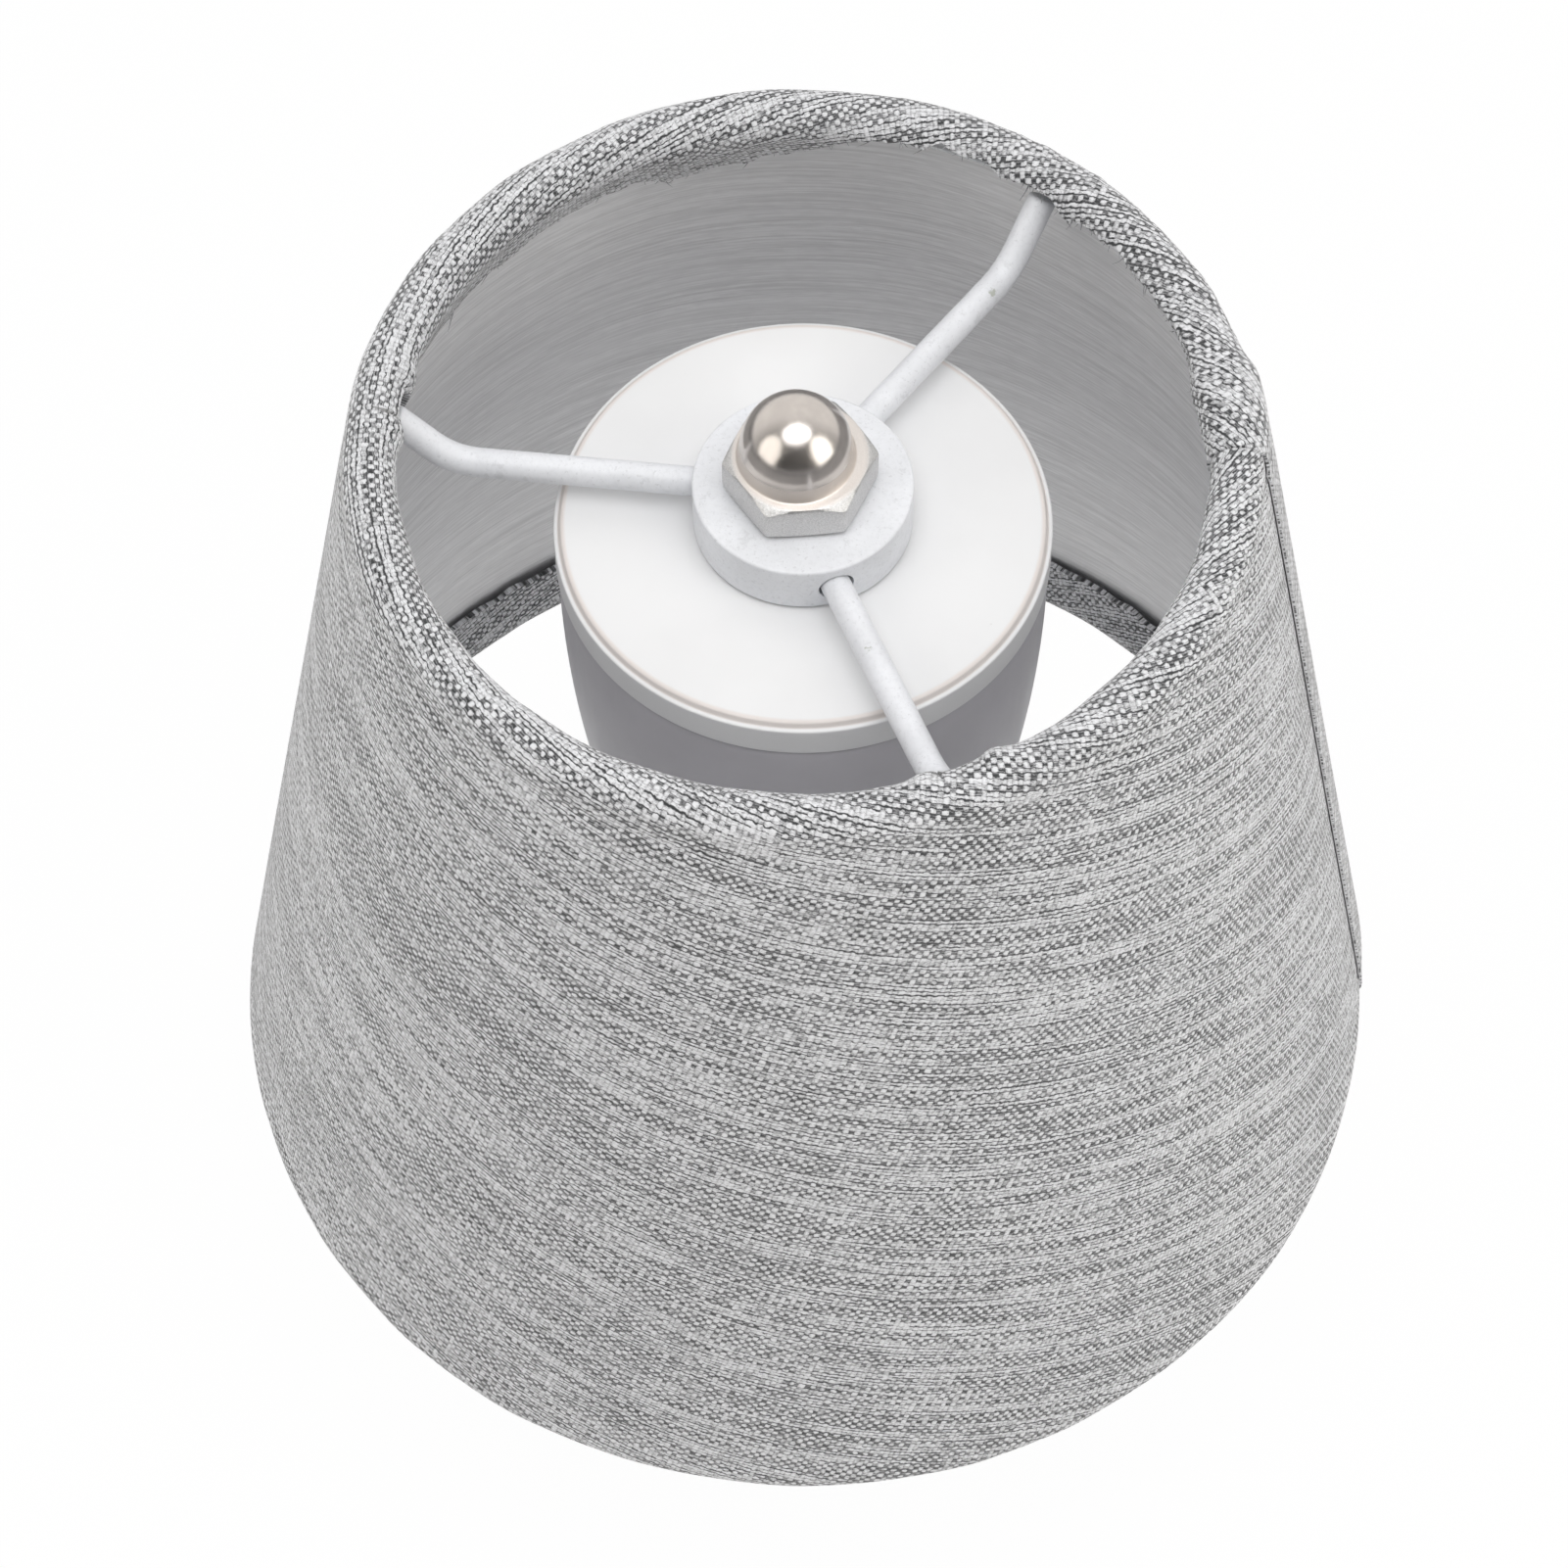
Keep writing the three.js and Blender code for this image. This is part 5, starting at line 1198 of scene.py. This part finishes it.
class LAMP_OT_shade_frame(bpy.types.Operator):
    """Make the shade's liner and its two ring wires"""

    bl_idname = "lamp.shade_frame"
    bl_label = "Liner and rings"

    def execute(self, context):
        shade = context.scene.lamp_shade
        line = ShadeLine(shade)
        place_piece(shade_liner(shade), liner_finish(shade), "grey_liner", "shade", "shade_liner")
        grey = (0.44, 0.45, 0.46)
        wire = coated("bare wire", grey, vary=0.12, roughness=0.38, spread=0.1, scale=1400, metallic=1.0)
        top = ring_wire("top_ring", line.top[0], line.top[1], shade.top_wire)
        bottom = ring_wire("bottom_ring", line.bottom[0], line.bottom[1], shade.bottom_wire)
        place_piece(top, wire, "bare_wire", "shade", "top_ring_wire")
        place_piece(bottom, wire, "bare_wire", "shade", "bottom_ring_wire")
        return {"FINISHED"}


class LAMP_OT_spider(bpy.types.Operator):
    """Make the spider's hub and its three arms"""

    bl_idname = "lamp.spider"
    bl_label = "Spider"

    def execute(self, context):
        shade = context.scene.lamp_shade
        head = context.scene.lamp_head
        enamel = enamel_finish(head)
        place_piece(hub(head, shade), enamel, "white_enamel", "shade", "spider_hub")
        for name, at_hub, at_ring in ARMS:
            arm = spider_arm(head, shade, name, at_hub, at_ring)
            place_piece(arm, enamel, "white_enamel", "shade", f"spider_arm_{name}")
        return {"FINISHED"}


class LAMP_OT_nut(bpy.types.Operator):
    """Make the domed nut"""

    bl_idname = "lamp.nut"
    bl_label = "Domed nut"

    def execute(self, context):
        head = context.scene.lamp_head
        place_piece(cap_nut(head), nickel_finish(head), "nickel", "nut", "cap_nut")
        return {"FINISHED"}


class LAMP_OT_head(bpy.types.Operator):
    """Make the cap and the smoked diffuser below it"""

    bl_idname = "lamp.head"
    bl_label = "Cap and diffuser"

    def execute(self, context):
        head = context.scene.lamp_head
        body = context.scene.lamp_body
        place_piece(top_cap(), cap_finish(head), "warm_white", "base", "top_cap")
        place_piece(diffuser(body), smoke_finish(body), "smoked_opal", "base", "diffuser")
        return {"FINISHED"}


class LAMP_OT_base(bpy.types.Operator):
    """Make the housing, the button and the stopper"""

    bl_idname = "lamp.base"
    bl_label = "Base and stopper"

    def execute(self, context):
        paint = tuple(context.scene.lamp_head.cap_white)
        dark = tuple(context.scene.lamp_body.rubber)
        white = coated("housing white", paint, vary=0.03, roughness=0.42, spread=0.05, scale=1300)
        place_piece(housing(), white, "warm_white", "base", "base_housing")
        plastic = coated("button plastic", (0.77, 0.77, 0.76), vary=0.05, roughness=0.48, scale=1800)
        place_piece(button_cap(), plastic, "white_plastic", "button", "power_button")
        rubber = coated(
            "stopper rubber", dark, vary=0.3, roughness=0.82, spread=0.1, scale=1500, depth=0.03 * MM
        )
        place_piece(stopper_plug(), rubber, "stopper_rubber", "base", "stopper")
        return {"FINISHED"}


class LAMP_OT_inner(bpy.types.Operator):
    """Give every CAD part that stays its own finish"""

    bl_idname = "lamp.inner"
    bl_label = "Finish the carried-over parts"

    def execute(self, context):
        record = frame["record"]
        slots = {sub["node"]: sub["material_slot"] for sub in record["subparts"]}
        looks = {material["slot"]: material for material in record["materials"]}
        made = {}
        for name, node in frame["nodes"].items():
            slot = slots[name]
            if slot not in made:
                base = tuple(linear(value) for value in looks[slot]["base_color"])
                roughness = SLOT_ROUGHNESS.get(slot, USUAL_ROUGHNESS)
                metallic = 1.0 if slot in BARE_METALS else 0.0
                made[slot] = coated(
                    f"{slot} part", base, vary=0.14, roughness=roughness, spread=0.09, scale=1500,
                    metallic=metallic,
                )
            node.data.materials.clear()
            node.data.materials.append(made[slot])
        return {"FINISHED"}


class LAMP_OT_stage(bpy.types.Operator):
    """Make the floor, the soft lights, the surroundings and the camera"""

    bl_idname = "lamp.stage"
    bl_label = "Stage"

    def execute(self, context):
        scene = context.scene
        stage = scene.lamp_stage
        half, level = 6.0, STOPPER_LOW.z
        corners = [(-half, -half, level), (half, -half, level), (half, half, level), (-half, half, level)]
        floor = new_piece("floor", np.array(corners), np.array([[0, 1, 2, 3]]))
        floor.data.materials.append(floor_finish())
        light_scene(scene, stage)
        aim_camera(scene, stage)
        scene.view_settings.view_transform = "Standard"
        return {"FINISHED"}


def light_scene(scene, stage):
    """One wide soft light almost overhead and a tall one on each side of the camera."""
    scene.world = studio_world(stage)
    neutral, warm = (1.0, 1.0, 1.0), (1.0, 0.97, 0.92)
    side = (0.77, 1.20)
    lamps = [
        ("key", 77, -83, 1.1, (1.15, 0.80), stage.key_power, neutral),
        ("left", 20, -152, 0.95, side, stage.side_power, warm),
        ("right", 20, -30, 0.95, side, stage.side_power * stage.right_share, warm),
    ]
    middle = np.array([0, 0, 0.1])
    for name, elevation, azimuth, distance, (across, tall), power, tint in lamps:
        light = bpy.data.lights.new(name, "AREA")
        light.shape = "ELLIPSE"
        light.size = across
        light.size_y = tall
        light.energy = power
        light.color = tint
        lift, turn = math.radians(elevation), math.radians(azimuth)
        lamp = bpy.data.objects.new(f"light_{name}", light)
        scene.collection.objects.link(lamp)
        lamp.location = middle + round_axis(math.cos(lift), turn, math.sin(lift)) * distance
        lamp.rotation_euler = (math.pi / 2 - lift, 0, turn + math.pi / 2)


def aim_camera(scene, stage):
    """The camera looks down on the lamp from the front, as the photo does."""
    lens = bpy.data.cameras.new("camera")
    lens.lens = stage.lens
    lens.sensor_width = SENSOR_WIDTH
    lens.clip_start = 10 * MM
    camera = bpy.data.objects.new("camera", lens)
    scene.collection.objects.link(camera)
    back = np.array([0, -math.cos(stage.elevation), math.sin(stage.elevation)])
    right = np.array([1.0, 0, 0])
    up = np.cross(back, right)
    cosine, sine = math.cos(stage.roll), math.sin(stage.roll)
    across = right * cosine + up * sine
    above = up * cosine - right * sine
    target = np.array([stage.target_side, 0, stage.target_height])
    matrix = np.eye(4)
    matrix[:3] = np.stack([across, above, back, target + back * stage.distance], axis=1)
    camera.matrix_world = Matrix(matrix.tolist())
    scene.camera = camera


class LAMP_PT_panel(bpy.types.Panel):
    """Lists the lamp's operators"""

    bl_label = "Bottle lamp"
    bl_space_type = "VIEW_3D"
    bl_region_type = "UI"
    bl_category = "Bottle lamp"

    def draw(self, context):
        for operator in OPERATORS:
            self.layout.operator(operator.bl_idname)


SETTINGS = {
    "lamp_shade": LampShadeSettings,
    "lamp_head": LampHeadSettings,
    "lamp_body": LampBodySettings,
    "lamp_stage": LampStageSettings,
}
OPERATORS = [
    LAMP_OT_stage,
    LAMP_OT_shade_frame,
    LAMP_OT_shade_cloth,
    LAMP_OT_spider,
    LAMP_OT_nut,
    LAMP_OT_head,
    LAMP_OT_base,
    LAMP_OT_inner,
]


def register():
    for group in SETTINGS.values():
        bpy.utils.register_class(group)
    for name, group in SETTINGS.items():
        setattr(bpy.types.Scene, name, bpy.props.PointerProperty(type=group))
    for operator in OPERATORS:
        bpy.utils.register_class(operator)
    bpy.utils.register_class(LAMP_PT_panel)


def unregister():
    bpy.utils.unregister_class(LAMP_PT_panel)
    for operator in reversed(OPERATORS):
        bpy.utils.unregister_class(operator)
    for name, group in SETTINGS.items():
        delattr(bpy.types.Scene, name)
        bpy.utils.unregister_class(group)


def main():
    register()
    bpy.ops.lamp.stage()
    bpy.ops.lamp.shade_frame()
    bpy.ops.lamp.shade_cloth()
    bpy.ops.lamp.spider()
    bpy.ops.lamp.nut()
    bpy.ops.lamp.head()
    bpy.ops.lamp.base()
    bpy.ops.lamp.inner()


if __name__ == "__main__":
    main()
